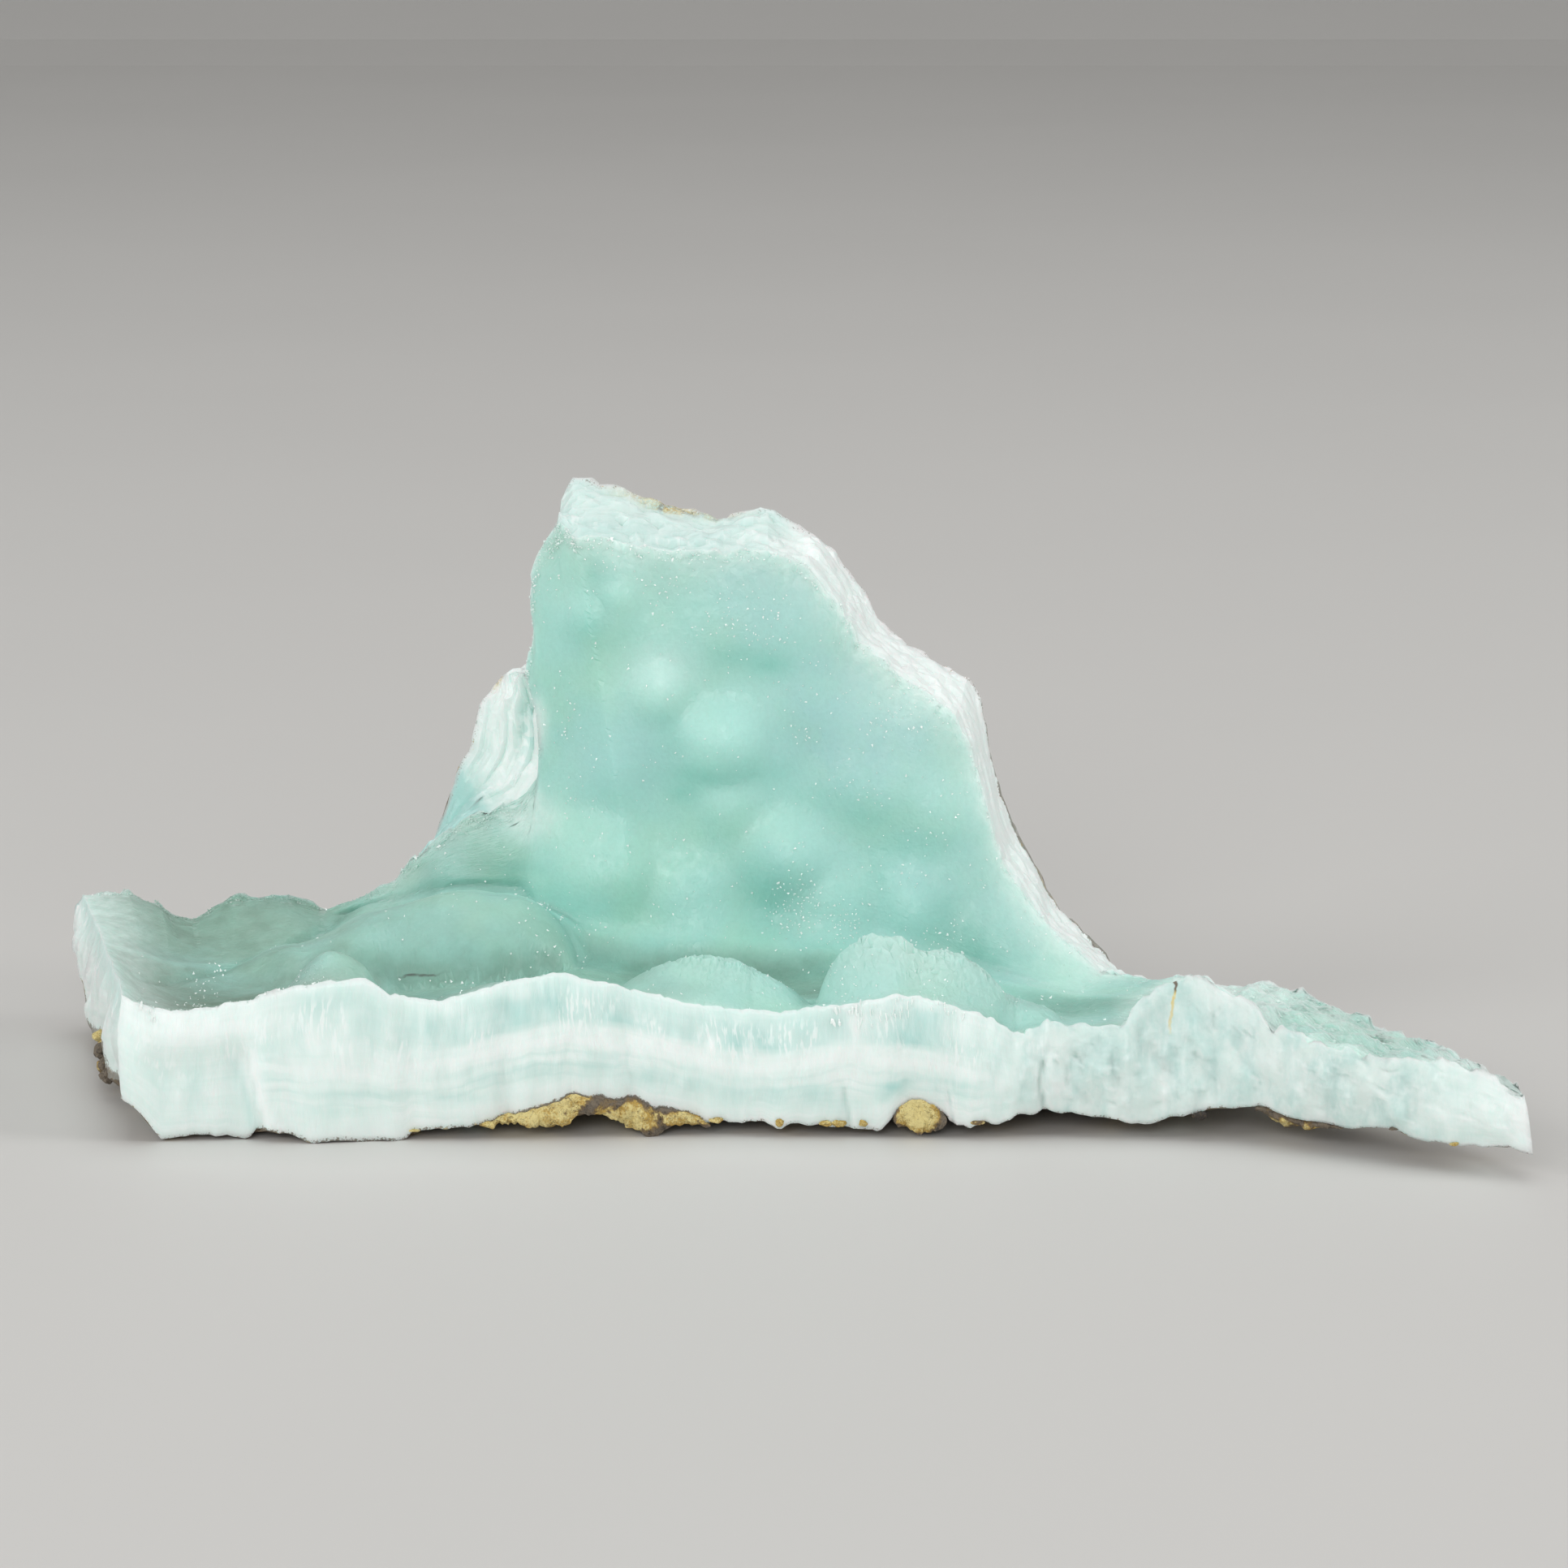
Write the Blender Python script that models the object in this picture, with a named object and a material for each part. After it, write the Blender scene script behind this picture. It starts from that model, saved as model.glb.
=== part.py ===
"""Blue aragonite: a bent crust of fibrous aragonite with a sparkling drusy inner
side, standing on its base plate, and the remnants of host rock under it.

The crust is one solid. It is the image of a plain block: the first side of the
block runs along the crust from its left end to the tip of its tail (station, 0
to 100), the second runs over the drusy side from the front edge, across the
floor, round the foot of the wall and up to the rim (reach, 0 to 1), and the
third runs through the layer from the drusy side to the rock side (depth, 0 to 1).
Lengths in the outlines are millimetres, x to the right, y away, z up.
"""

import bmesh
import bpy
import numpy as np

MM = 0.001
NAME = "blue_aragonite"

# Where the middle of the finished piece's footprint lies in the outlines' frame.
MIDDLE = (-2.69, -6.16)

# How finely the crust is faceted along, across and through.
CRUST_CELLS = (66, 24, 5)

# Share of the reach that belongs to the floor, and half the length of the bend.
FOOT_SHARE = 0.45
FLOOR_BEND = 0.10
BACK_BEND = 0.06

# Space left between the crust and each remnant of host rock.
SEAM = 0.3

# Each outline is a list of (station, x, y, z).
FRONT_TOP = [
    (0.0, -46.4, -17.4, 10.5),
    (1.6, -44.7, -18.0, 9.5),
    (4.6, -41.4, -18.0, 9.3),
    (8.1, -37.7, -18.0, 10.0),
    (10.7, -34.9, -18.0, 10.9),
    (13.1, -32.2, -18.0, 11.6),
    (15.3, -29.9, -18.0, 11.5),
    (16.9, -28.2, -17.8, 10.3),
    (20.8, -24.9, -17.4, 10.0),
    (25.2, -21.4, -17.0, 11.0),
    (31.9, -16.2, -16.6, 11.5),
    (36.8, -12.6, -16.4, 10.8),
    (41.1, -8.9, -16.2, 9.6),
    (47.8, -3.2, -16.2, 8.5),
    (51.2, -0.3, -16.4, 9.1),
    (55.2, 3.4, -16.6, 9.7),
    (58.7, 6.7, -16.8, 10.1),
    (62.7, 9.7, -16.8, 9.5),
    (67.1, 12.9, -16.6, 8.4),
    (69.3, 14.4, -16.4, 7.4),
    (72.8, 16.9, -16.4, 8.3),
    (75.3, 19.4, -16.5, 7.7),
    (77.3, 22.0, -16.6, 7.7),
    (77.9, 22.7, -16.0, 9.1),
    (80.3, 25.7, -14.5, 10.7),
    (81.2, 26.7, -14.0, 11.0),
    (82.5, 28.3, -14.0, 10.4),
    (84.6, 30.8, -15.5, 9.1),
    (85.7, 32.0, -18.0, 7.7),
    (87.7, 34.4, -19.5, 7.7),
    (89.8, 36.9, -20.6, 7.6),
    (91.8, 39.3, -21.8, 6.7),
    (94.8, 42.8, -23.6, 7.1),
    (97.4, 45.9, -25.4, 6.6),
    (100.0, 48.0, -27.0, 5.7),
]
FRONT_BOTTOM = [
    (0.0, -46.6, -17.5, 2.6),
    (2.7, -43.5, -18.4, 0.1),
    (5.4, -40.6, -18.4, 0.6),
    (9.2, -36.5, -18.4, 0.3),
    (12.6, -32.8, -18.4, 0.1),
    (16.1, -29.0, -18.0, 0.6),
    (23.2, -22.9, -17.6, 0.7),
    (27.6, -19.5, -17.2, 1.6),
    (32.3, -15.8, -16.8, 3.1),
    (35.3, -13.6, -16.6, 2.8),
    (39.2, -10.6, -16.5, 2.4),
    (44.2, -6.3, -16.6, 1.0),
    (48.8, -2.3, -17.0, 0.8),
    (52.7, 1.1, -17.0, 1.0),
    (57.1, 5.2, -17.0, 0.5),
    (59.3, 7.2, -17.0, 2.6),
    (61.6, 9.0, -17.0, 2.5),
    (63.8, 10.5, -17.0, 0.8),
    (69.2, 14.3, -17.0, 1.4),
    (72.1, 16.4, -17.0, 2.0),
    (75.3, 19.5, -17.0, 1.5),
    (79.2, 24.3, -17.5, 1.1),
    (81.3, 26.8, -17.8, 2.0),
    (83.6, 29.6, -18.4, 2.5),
    (85.5, 31.8, -19.0, 2.6),
    (88.2, 35.0, -20.5, 1.9),
    (91.8, 39.3, -22.5, 2.1),
    (95.0, 43.1, -24.5, 1.7),
    (97.8, 46.4, -26.0, 1.9),
    (100.0, 48.7, -27.3, 2.1),
]
FOOT = [
    (0.0, -50.1, 0.0, 9.9),
    (4.0, -46.0, 2.0, 8.0),
    (8.0, -42.0, 4.0, 7.0),
    (13.0, -36.0, 6.5, 7.2),
    (17.6, -31.0, 8.0, 8.0),
    (21.6, -26.0, 8.5, 9.0),
    (24.0, -21.5, 8.3, 9.0),
    (28.9, -17.8, 7.5, 8.2),
    (37.0, -11.5, 5.8, 7.0),
    (51.1, -3.2, 5.5, 6.9),
    (59.7, 4.8, 5.2, 6.8),
    (66.0, 12.2, 4.3, 6.0),
    (73.8, 19.8, 1.5, 5.6),
    (79.4, 26.8, -5.0, 7.0),
    (88.0, 36.2, -14.5, 7.6),
    (100.0, 48.0, -26.2, 5.6),
]
INNER_RIM = [
    (0.0, -53.3, 13.0, 10.4),
    (2.6, -50.1, 13.5, 10.8),
    (4.4, -47.7, 13.5, 9.9),
    (5.2, -47.0, 13.5, 9.0),
    (6.4, -45.3, 13.5, 8.5),
    (8.8, -42.2, 13.5, 10.0),
    (11.8, -38.0, 13.5, 10.2),
    (13.7, -35.5, 13.0, 9.4),
    (15.9, -32.4, 13.0, 10.5),
    (17.6, -30.2, 12.5, 11.7),
    (19.4, -27.9, 11.8, 14.0),
    (21.0, -25.2, 10.8, 16.4),
    (22.2, -22.8, 10.2, 17.5),
    (23.4, -20.3, 9.8, 18.6),
    (24.6, -19.0, 9.6, 21.0),
    (26.2, -19.1, 10.0, 24.6),
    (27.8, -19.6, 10.2, 27.1),
    (28.9, -19.8, 10.2, 28.0),
    (31.6, -19.9, 10.0, 32.8),
    (33.9, -19.2, 9.8, 36.7),
    (35.0, -18.1, 9.4, 38.3),
    (36.4, -17.6, 9.0, 39.0),
    (37.5, -16.4, 8.3, 38.2),
    (42.2, -9.3, 8.0, 37.0),
    (46.7, -2.4, 8.0, 37.0),
    (49.2, 0.0, 8.0, 36.0),
    (51.1, 2.6, 8.0, 33.3),
    (54.4, 4.1, 8.0, 30.4),
    (56.9, 7.2, 8.0, 27.8),
    (58.3, 9.4, 7.8, 26.5),
    (59.9, 11.3, 7.6, 24.7),
    (61.3, 12.3, 7.4, 22.7),
    (63.6, 13.2, 7.0, 19.4),
    (66.8, 14.7, 6.4, 14.1),
    (70.6, 18.5, 5.6, 9.2),
    (73.5, 22.0, 5.0, 6.3),
    (75.7, 25.3, 4.6, 6.0),
    (79.4, 29.3, -1.0, 7.2),
    (82.7, 32.8, -5.8, 8.2),
    (84.8, 34.8, -8.8, 8.3),
    (87.0, 36.8, -11.3, 7.9),
    (90.3, 39.9, -14.3, 7.1),
    (93.5, 42.9, -17.2, 6.7),
    (95.6, 44.8, -19.7, 6.6),
    (100.0, 48.0, -25.4, 5.4),
]
OUTER_RIM = [
    (0.0, -53.9, 14.3, 5.5),
    (4.4, -48.0, 15.0, 5.0),
    (8.8, -42.4, 15.2, 4.8),
    (13.7, -35.6, 15.2, 5.0),
    (17.6, -30.2, 15.0, 8.0),
    (19.4, -28.4, 14.6, 11.8),
    (20.9, -27.0, 14.0, 15.0),
    (22.6, -25.6, 13.0, 19.1),
    (24.9, -24.2, 13.0, 22.9),
    (26.2, -23.5, 13.0, 25.0),
    (27.6, -21.9, 13.0, 27.0),
    (28.4, -20.4, 13.0, 27.1),
    (28.9, -19.6, 13.4, 27.5),
    (31.6, -19.0, 14.2, 32.0),
    (33.9, -18.3, 14.2, 35.8),
    (35.0, -17.7, 14.0, 37.6),
    (36.4, -17.5, 13.4, 40.1),
    (37.5, -16.6, 13.5, 41.6),
    (39.6, -13.3, 13.5, 40.8),
    (42.2, -9.4, 13.5, 39.4),
    (44.4, -6.0, 13.5, 38.7),
    (46.7, -2.4, 13.5, 39.1),
    (48.1, -0.5, 13.5, 38.2),
    (49.6, 1.7, 13.5, 37.0),
    (51.1, 3.1, 13.4, 35.2),
    (53.2, 5.0, 13.2, 32.7),
    (54.7, 5.9, 13.0, 30.7),
    (57.8, 9.6, 13.0, 28.1),
    (59.7, 12.3, 12.8, 27.0),
    (60.8, 13.2, 12.6, 25.3),
    (63.3, 14.0, 12.2, 20.8),
    (65.0, 14.8, 12.0, 18.0),
    (67.2, 16.5, 11.5, 14.4),
    (69.8, 18.7, 11.0, 10.3),
    (72.4, 21.9, 10.2, 7.0),
    (73.8, 23.6, 9.6, 5.2),
    (76.0, 26.4, 7.0, 3.4),
    (79.4, 30.0, 1.0, 3.8),
    (82.7, 33.5, -4.4, 4.6),
    (87.0, 37.4, -9.8, 4.4),
    (93.5, 43.3, -16.0, 3.6),
    (100.0, 48.4, -25.0, 3.0),
]
BACK_FOOT = [
    (0.0, -52.5, 9.0, 1.2),
    (8.0, -44.0, 11.0, 1.0),
    (17.6, -31.0, 14.3, 0.6),
    (24.0, -22.5, 15.0, 0.2),
    (28.9, -18.5, 15.2, 0.1),
    (37.0, -12.5, 15.2, 0.1),
    (51.1, -3.2, 14.8, 0.2),
    (59.7, 5.0, 14.3, 0.2),
    (66.0, 12.5, 13.0, 0.5),
    (73.8, 21.0, 9.0, 1.2),
    (79.4, 28.0, 2.0, 1.6),
    (88.0, 37.0, -11.5, 2.0),
    (100.0, 48.3, -25.8, 2.6),
]

# How far the floor sags between its front edge and the foot: (station, depth).
SAG = [(0, 0.0), (4, 1.2), (14, 2.0), (30, 1.6), (60, 1.2), (74, 0.8), (80, 0.0), (100, 0.3)]

# Rounded lobes of the wall: (x, z, half width, how far each stands out).
WALL_LOBES = [
    (-10.3, 26.7, 3.2, 1.4),
    (-5.7, 23.1, 4.3, 2.0),
    (-15.8, 31.9, 3.0, 1.1),
    (-13.2, 33.6, 2.6, 1.0),
    (-15.6, 13.4, 6.0, 2.5),
    (-5.2, 18.0, 3.0, 1.3),
    (-1.4, 15.4, 3.9, 1.9),
    (2.2, 11.4, 3.6, 1.7),
    (7.8, 11.0, 3.2, 1.3),
    (-8.2, 13.3, 4.6, 1.7),
    (-14.5, 21.3, 4.4, 1.0),
    (4.5, 20.5, 6.5, 1.2),
    (14.2, 9.0, 4.4, 1.3),
    (-6.8, 31.8, 5.2, 0.8),
    (-0.8, 30.6, 5.0, 0.8),
    (-21.3, 14.6, 3.4, 1.4),
    (-26.4, 13.2, 2.8, 1.0),
    (9.5, 16.8, 4.0, 0.8),
]

# Rounded lobes of the floor: (x, y, half width, how far each stands up).
FLOOR_LOBES = [
    (-6.2, -9.8, 7.2, 4.4),
    (5.4, -11.8, 4.6, 5.2),
    (9.4, -11.4, 5.4, 4.6),
    (14.0, -9.6, 4.6, 2.8),
    (-50.0, 9.0, 5.0, 1.4),
    (-43.0, -12.0, 4.0, 0.6),
    (19.0, -8.0, 5.0, 0.9),
    (33.5, -12.6, 3.2, 1.3),
    (38.4, -17.6, 2.8, 1.0),
    (43.0, -20.8, 2.4, 0.8),
]

# A pointed bump just behind the front edge: (x, y, half width, how far it stands up).
BUMP = (-32.3, -14.2, 4.4, 4.6)

# A long lobe lying across the floor to the wall's left foot:
# (x, y, half width, how far it stands up) from one end to the other.
LONG_LOBE = [
    (-41.0, 0.0, 4.6, 1.2),
    (-36.0, 2.0, 5.6, 2.6),
    (-30.0, 3.2, 6.8, 4.4),
    (-24.0, 3.6, 7.2, 5.0),
    (-21.2, 4.0, 6.2, 4.6),
]

# Places where the underside reaches the table: (x, y, half width, drop).
FEET = [
    (-41.0, -15.2, 4.6, 2.4),
    (-30.5, -15.4, 4.4, 2.4),
    (-25.0, 10.0, 6.4, 2.6),
    (10.5, 9.0, 5.6, 2.6),
]

# How thick each remnant of host rock is along its front edge, as it runs from its
# left end to its right: (share of its length, thickness).
FRONT_ROCK = [
    (0.0, 0.4),
    (0.16, 0.8),
    (0.30, 1.6),
    (0.39, 1.9),
    (0.47, 1.1),
    (0.60, 1.4),
    (0.68, 2.4),
    (0.76, 2.4),
    (0.86, 1.2),
    (1.0, 0.4),
]
RIGHT_ROCK = [(0.0, 1.4), (0.5, 2.6), (1.0, 1.2)]
TAIL_ROCK = [(0.0, 0.4), (0.3, 0.9), (0.7, 0.8), (1.0, 0.4)]
CORNER_ROCK = [(0.0, 1.0), (0.4, 1.4), (1.0, 0.5)]


def along(outline, station):
    """Points of an outline at the stations, by straight runs between its points."""
    rows = np.array(outline, float)
    columns = [np.interp(station, rows[:, 0], rows[:, k]) for k in range(1, rows.shape[1])]
    return np.stack(columns, axis=-1)


def swell(distance, power=0.75):
    """A round hump, 1 in the middle and 0 beyond distance 1; more power softens its foot."""
    return np.clip(1.0 - distance**2, 0.0, None) ** power


def ripple(point, length, seed):
    """Smooth unevenness of about this wavelength, between -1 and 1."""
    rng = np.random.default_rng(seed)
    total = np.zeros(point.shape[:-1])
    for _ in range(9):
        way = rng.normal(size=3)
        way /= np.linalg.norm(way)
        stretch = rng.uniform(0.7, 1.4)
        total += np.sin(point @ way * (2 * np.pi / (length * stretch)) + rng.uniform(0, 6.28))
    return total / 4.0


def highest(heights, soft=0.22):
    """The greatest of several heights, with the creases between them rounded a little."""
    stack = np.stack(heights)
    top = stack.max(axis=0)
    return top + soft * np.log(np.exp((stack - top) / soft).sum(axis=0) / len(heights))


def folded(near, corner, far, reach, half):
    """A section of two straight legs, near to corner to far, with a rounded bend."""
    x = reach - FOOT_SHARE
    over = np.where(x < -half, 0.0, np.where(x > half, x, (x + half) ** 2 / (4 * half)))
    first = ((reach - over) / FOOT_SHARE)[..., None]
    second = (over / (1 - FOOT_SHARE))[..., None]
    return near + (corner - near) * first + (far - corner) * second


def plain_inner(station, reach):
    """The drusy side without its lobes."""
    near = along(FRONT_TOP, station)
    corner = along(FOOT, station)
    far = along(INNER_RIM, station)
    point = folded(near, corner, far, reach, FLOOR_BEND)
    on_floor = np.clip(reach / FOOT_SHARE, 0, 1)
    point[..., 2] -= along(SAG, station)[..., 0] * np.sin(np.pi * on_floor)
    return point


def plain_outer(station, reach):
    """The rock side without its roughness."""
    near = along(FRONT_BOTTOM, station)
    corner = along(BACK_FOOT, station)
    far = along(OUTER_RIM, station)
    return folded(near, corner, far, reach, BACK_BEND)


def facing(surface, station, reach, turn):
    """Unit normals of a surface, smoothed over a few millimetres; turn is 1 or -1."""
    left = surface(np.clip(station - 1.5, 0, 100), reach)
    right = surface(np.clip(station + 1.5, 0, 100), reach)
    low = surface(station, np.clip(reach - 0.04, 0, 1))
    high = surface(station, np.clip(reach + 0.04, 0, 1))
    normal = np.cross(right - left, high - low) * turn
    return normal / np.linalg.norm(normal, axis=-1, keepdims=True)


def lobe_height(point, reach):
    """How far the lobes stand out of the plain drusy side."""
    on_wall = np.clip((reach - FOOT_SHARE + 0.10) / 0.10, 0, 1)
    on_floor = np.clip((FOOT_SHARE + 0.12 - reach) / 0.10, 0, 1)
    heights = [np.zeros(point.shape[:-1])]
    for x, z, half, out in WALL_LOBES:
        span = np.hypot(point[..., 0] - x, point[..., 2] - z)
        heights.append(out * swell(span / half, 1.15) * on_wall)
    for x, y, half, up in FLOOR_LOBES:
        span = np.hypot(point[..., 0] - x, point[..., 1] - y)
        heights.append(up * swell(span / half) * on_floor)
    x, y, half, up = BUMP
    span = np.hypot(point[..., 0] - x, point[..., 1] - y)
    heights.append(up * np.clip(1 - span / half, 0, None) * on_floor)
    ridge = np.zeros(point.shape[:-1])
    for (x0, y0, h0, u0), (x1, y1, h1, u1) in zip(LONG_LOBE, LONG_LOBE[1:]):
        run = np.array([x1 - x0, y1 - y0])
        share = ((point[..., 0] - x0) * run[0] + (point[..., 1] - y0) * run[1]) / (run @ run)
        share = np.clip(share, 0, 1)
        span = np.hypot(point[..., 0] - x0 - run[0] * share, point[..., 1] - y0 - run[1] * share)
        hump = (u0 + (u1 - u0) * share) * swell(span / (h0 + (h1 - h0) * share), 0.95)
        ridge = np.maximum(ridge, hump)
    heights.append(ridge * on_floor)
    return highest(heights)


def inner(station, reach):
    """The drusy side, with its lobes."""
    point = plain_inner(station, reach)
    edge = np.clip(np.minimum(reach / 0.10, (1.0 - reach) / 0.08), 0, 1)
    out = lobe_height(point, reach) * edge + 0.18 * ripple(point, 6.0, 11)
    return point + facing(plain_inner, station, reach, 1) * out[..., None]


def outer(station, reach):
    """The rock side: rough, level where it rests on the table."""
    point = plain_outer(station, reach)
    out = 0.45 * ripple(point, 9.0, 23) + 0.22 * ripple(point, 4.0, 24)
    edge = np.clip(np.minimum(reach / 0.06, (1.0 - reach) / 0.06), 0, 1)
    point = point + facing(plain_outer, station, reach, -1) * (out * edge)[..., None]
    for x, y, half, drop in FEET:
        span = np.hypot(point[..., 0] - x, point[..., 1] - y)
        point[..., 2] -= drop * swell(span / half) * (reach < FOOT_SHARE + 0.05)
    point[..., 2] = np.maximum(point[..., 2], 0.0)
    return point


def crust(station, reach, depth):
    """A point of the block carried to its place in the crust."""
    point = inner(station, reach)
    point = point + (outer(station, reach) - point) * depth[..., None]
    middle = np.sin(np.pi * depth)

    # The broken front edge shows the fibres as upright columns, and swells forward.
    front = np.clip(1 - reach / 0.05, 0, 1)
    run = np.stack([station, 0 * reach, depth], axis=-1)
    columns = 0.34 * ripple(run * (1.02, 0, 1.1), 3.6, 31)
    columns += 0.34 * ripple(run * (1.02, 0, 2.7), 11.0, 32)
    point[..., 1] += front * (columns - 0.5 * middle)

    # The broken rim is flaky.
    rim = np.clip(1 - (1 - reach) / 0.04, 0, 1) * middle
    point[..., 2] += 0.5 * rim * ripple(run * (1.02, 0, 4.5), 3.4, 41)

    # So is the broken left end.
    left = np.clip(1 - station / 1.2, 0, 1) * middle
    across = np.stack([reach * 34, depth * 6, 0 * depth], axis=-1)
    point[..., 0] -= left * (0.1 + 0.45 * ripple(across, 5.0, 51))

    point[..., 2] = np.maximum(point[..., 2], 0.0)
    return point


def remnant(first, last, near, deep, profile, lowest):
    """A remnant of host rock hanging from the underside between two stations.

    profile is a list of (share of the length, thickness at the front edge); the
    thickness falls to a third at the back. Nothing of it lies below lowest.
    """

    def place(station, reach, depth):
        share = station / 100.0
        s = first + (last - first) * share
        t = near + (deep - near) * reach
        top = outer(s, t)
        down = facing(plain_outer, s, t, -1)
        shares, thicknesses = zip(*profile)
        thick = np.interp(share, shares, thicknesses) * (1.0 - 0.65 * reach**2)
        spot = top + down * SEAM
        knobs = 0.16 * ripple(spot, 2.0, int(first * 7) + 3)
        spot[..., 2] -= thick * depth
        spot += down * (knobs * depth)[..., None]
        bulge = np.sin(np.pi * depth) * 0.3
        spot[..., 1] += bulge * np.where(reach < 0.01, -1, np.where(reach > 0.99, 1, 0))
        spot[..., 0] += bulge * np.where(share < 0.01, -1, np.where(share > 0.99, 1, 0))
        spot[..., 2] = np.maximum(spot[..., 2], lowest)
        return spot

    return place


def sliced_block(cells):
    """A unit cube sliced into this many cells along x, y and z."""
    block = bmesh.new()
    bmesh.ops.create_cube(block, size=1.0)
    bmesh.ops.translate(block, verts=block.verts, vec=(0.5, 0.5, 0.5))
    for axis, count in enumerate(cells):
        normal = [0.0, 0.0, 0.0]
        normal[axis] = 1.0
        for cut in range(1, count):
            spot = [0.0, 0.0, 0.0]
            spot[axis] = cut / count
            everything = block.verts[:] + block.edges[:] + block.faces[:]
            bmesh.ops.bisect_plane(block, geom=everything, plane_co=spot, plane_no=normal, dist=1e-6)
    return block


def material(name, colour, roughness):
    """A plain Principled material."""
    made = bpy.data.materials.new(name)
    made.use_nodes = True
    shader = made.node_tree.nodes["Principled BSDF"]
    shader.inputs["Base Color"].default_value = (*colour, 1.0)
    shader.inputs["Roughness"].default_value = roughness
    return made


def solid(name, cells, place, look, group):
    """One closed body: a sliced block whose points are carried to their places."""
    block = sliced_block(cells)
    flat = np.array([v.co[:] for v in block.verts])
    spots = place(flat[:, 0] * 100.0, flat[:, 1], flat[:, 2])
    spots = (spots - np.array([*MIDDLE, 0.0])) * MM
    for vertex, spot in zip(block.verts, spots):
        vertex.co = spot
    bmesh.ops.triangulate(block, faces=block.faces)
    bmesh.ops.recalc_face_normals(block, faces=block.faces)
    if block.calc_volume(signed=True) < 0:
        bmesh.ops.reverse_faces(block, faces=block.faces)
    mesh = bpy.data.meshes.new(name)
    block.to_mesh(mesh)
    block.free()
    mesh.materials.append(look)
    body = bpy.data.objects.new(name, mesh)
    group.objects.link(body)
    return body


def main():
    for old in list(bpy.data.objects):
        bpy.data.objects.remove(old, do_unlink=True)
    group = bpy.data.collections.new(NAME)
    bpy.context.scene.collection.children.link(group)

    aragonite = material("aragonite", (0.46, 0.77, 0.69), 0.45)
    rock = material("host_rock", (0.42, 0.31, 0.12), 0.9)

    solid("aragonite_crust", CRUST_CELLS, crust, aragonite, group)
    solid("host_rock_front", (17, 5, 2), remnant(24.5, 43.8, 0.0, 0.16, FRONT_ROCK, 0.0), rock, group)
    solid("host_rock_right", (6, 5, 2), remnant(58.6, 62.4, 0.0, 0.16, RIGHT_ROCK, 0.0), rock, group)
    solid("host_rock_tail", (6, 4, 2), remnant(85.0, 89.5, 0.02, 0.3, TAIL_ROCK, 0.3), rock, group)
    solid("host_rock_corner", (4, 6, 2), remnant(0.6, 5.0, 0.26, 0.42, CORNER_ROCK, 0.0), rock, group)


main()
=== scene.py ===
"""Blue aragonite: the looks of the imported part.

The crust is the image of a plain block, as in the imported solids: the first side of
the block runs along the crust from its left end to the tip of its tail (station, 0
to 100), the second runs over the drusy side from the front edge, across the floor,
round the foot of the wall and up to the rim (reach, 0 to 1), and the third runs
through the layer from the drusy side to the rock side (depth, 0 to 1). Shapes are
worked out in millimetres, x to the right, y away, z up, and put into metres at the end.
"""

import bpy
import numpy as np
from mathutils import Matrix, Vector


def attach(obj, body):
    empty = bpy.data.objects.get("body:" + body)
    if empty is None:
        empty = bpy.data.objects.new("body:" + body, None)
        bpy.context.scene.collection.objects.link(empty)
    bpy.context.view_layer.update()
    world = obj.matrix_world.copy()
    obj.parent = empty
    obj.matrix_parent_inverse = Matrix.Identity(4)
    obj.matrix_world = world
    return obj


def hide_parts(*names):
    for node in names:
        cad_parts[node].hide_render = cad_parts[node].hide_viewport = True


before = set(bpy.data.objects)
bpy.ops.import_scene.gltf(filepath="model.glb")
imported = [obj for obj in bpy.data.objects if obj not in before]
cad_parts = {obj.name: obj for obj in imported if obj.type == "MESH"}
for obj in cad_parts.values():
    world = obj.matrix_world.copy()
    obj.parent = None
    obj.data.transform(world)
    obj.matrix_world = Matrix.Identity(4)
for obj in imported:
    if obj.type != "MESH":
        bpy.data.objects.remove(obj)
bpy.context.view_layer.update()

bl_info = {
    "name": "Blue Aragonite",
    "version": (1, 0, 0),
    "blender": (4, 5, 0),
    "location": "3D View > Sidebar > Aragonite",
    "description": "Makes a bent crust of blue fibrous aragonite with its druse and host rock",
    "category": "Object",
}

MM = 0.001

# The refractive index of aragonite.
REFRACTION = 1.58

# Rough millimetres of a station, of the whole reach and of the whole depth.
LAYER_SCALE = (1.03, 46.0, 8.0)
FLOOR_SCALE = (1.03, 47.0)

# Where the middle of the finished piece's footprint lies in the outlines' frame.
MIDDLE = (-2.69, -6.16)

# Share of the reach that belongs to the floor, and half the length of the bend.
FOOT_SHARE = 0.45
FLOOR_BEND = 0.10
BACK_BEND = 0.06

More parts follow.
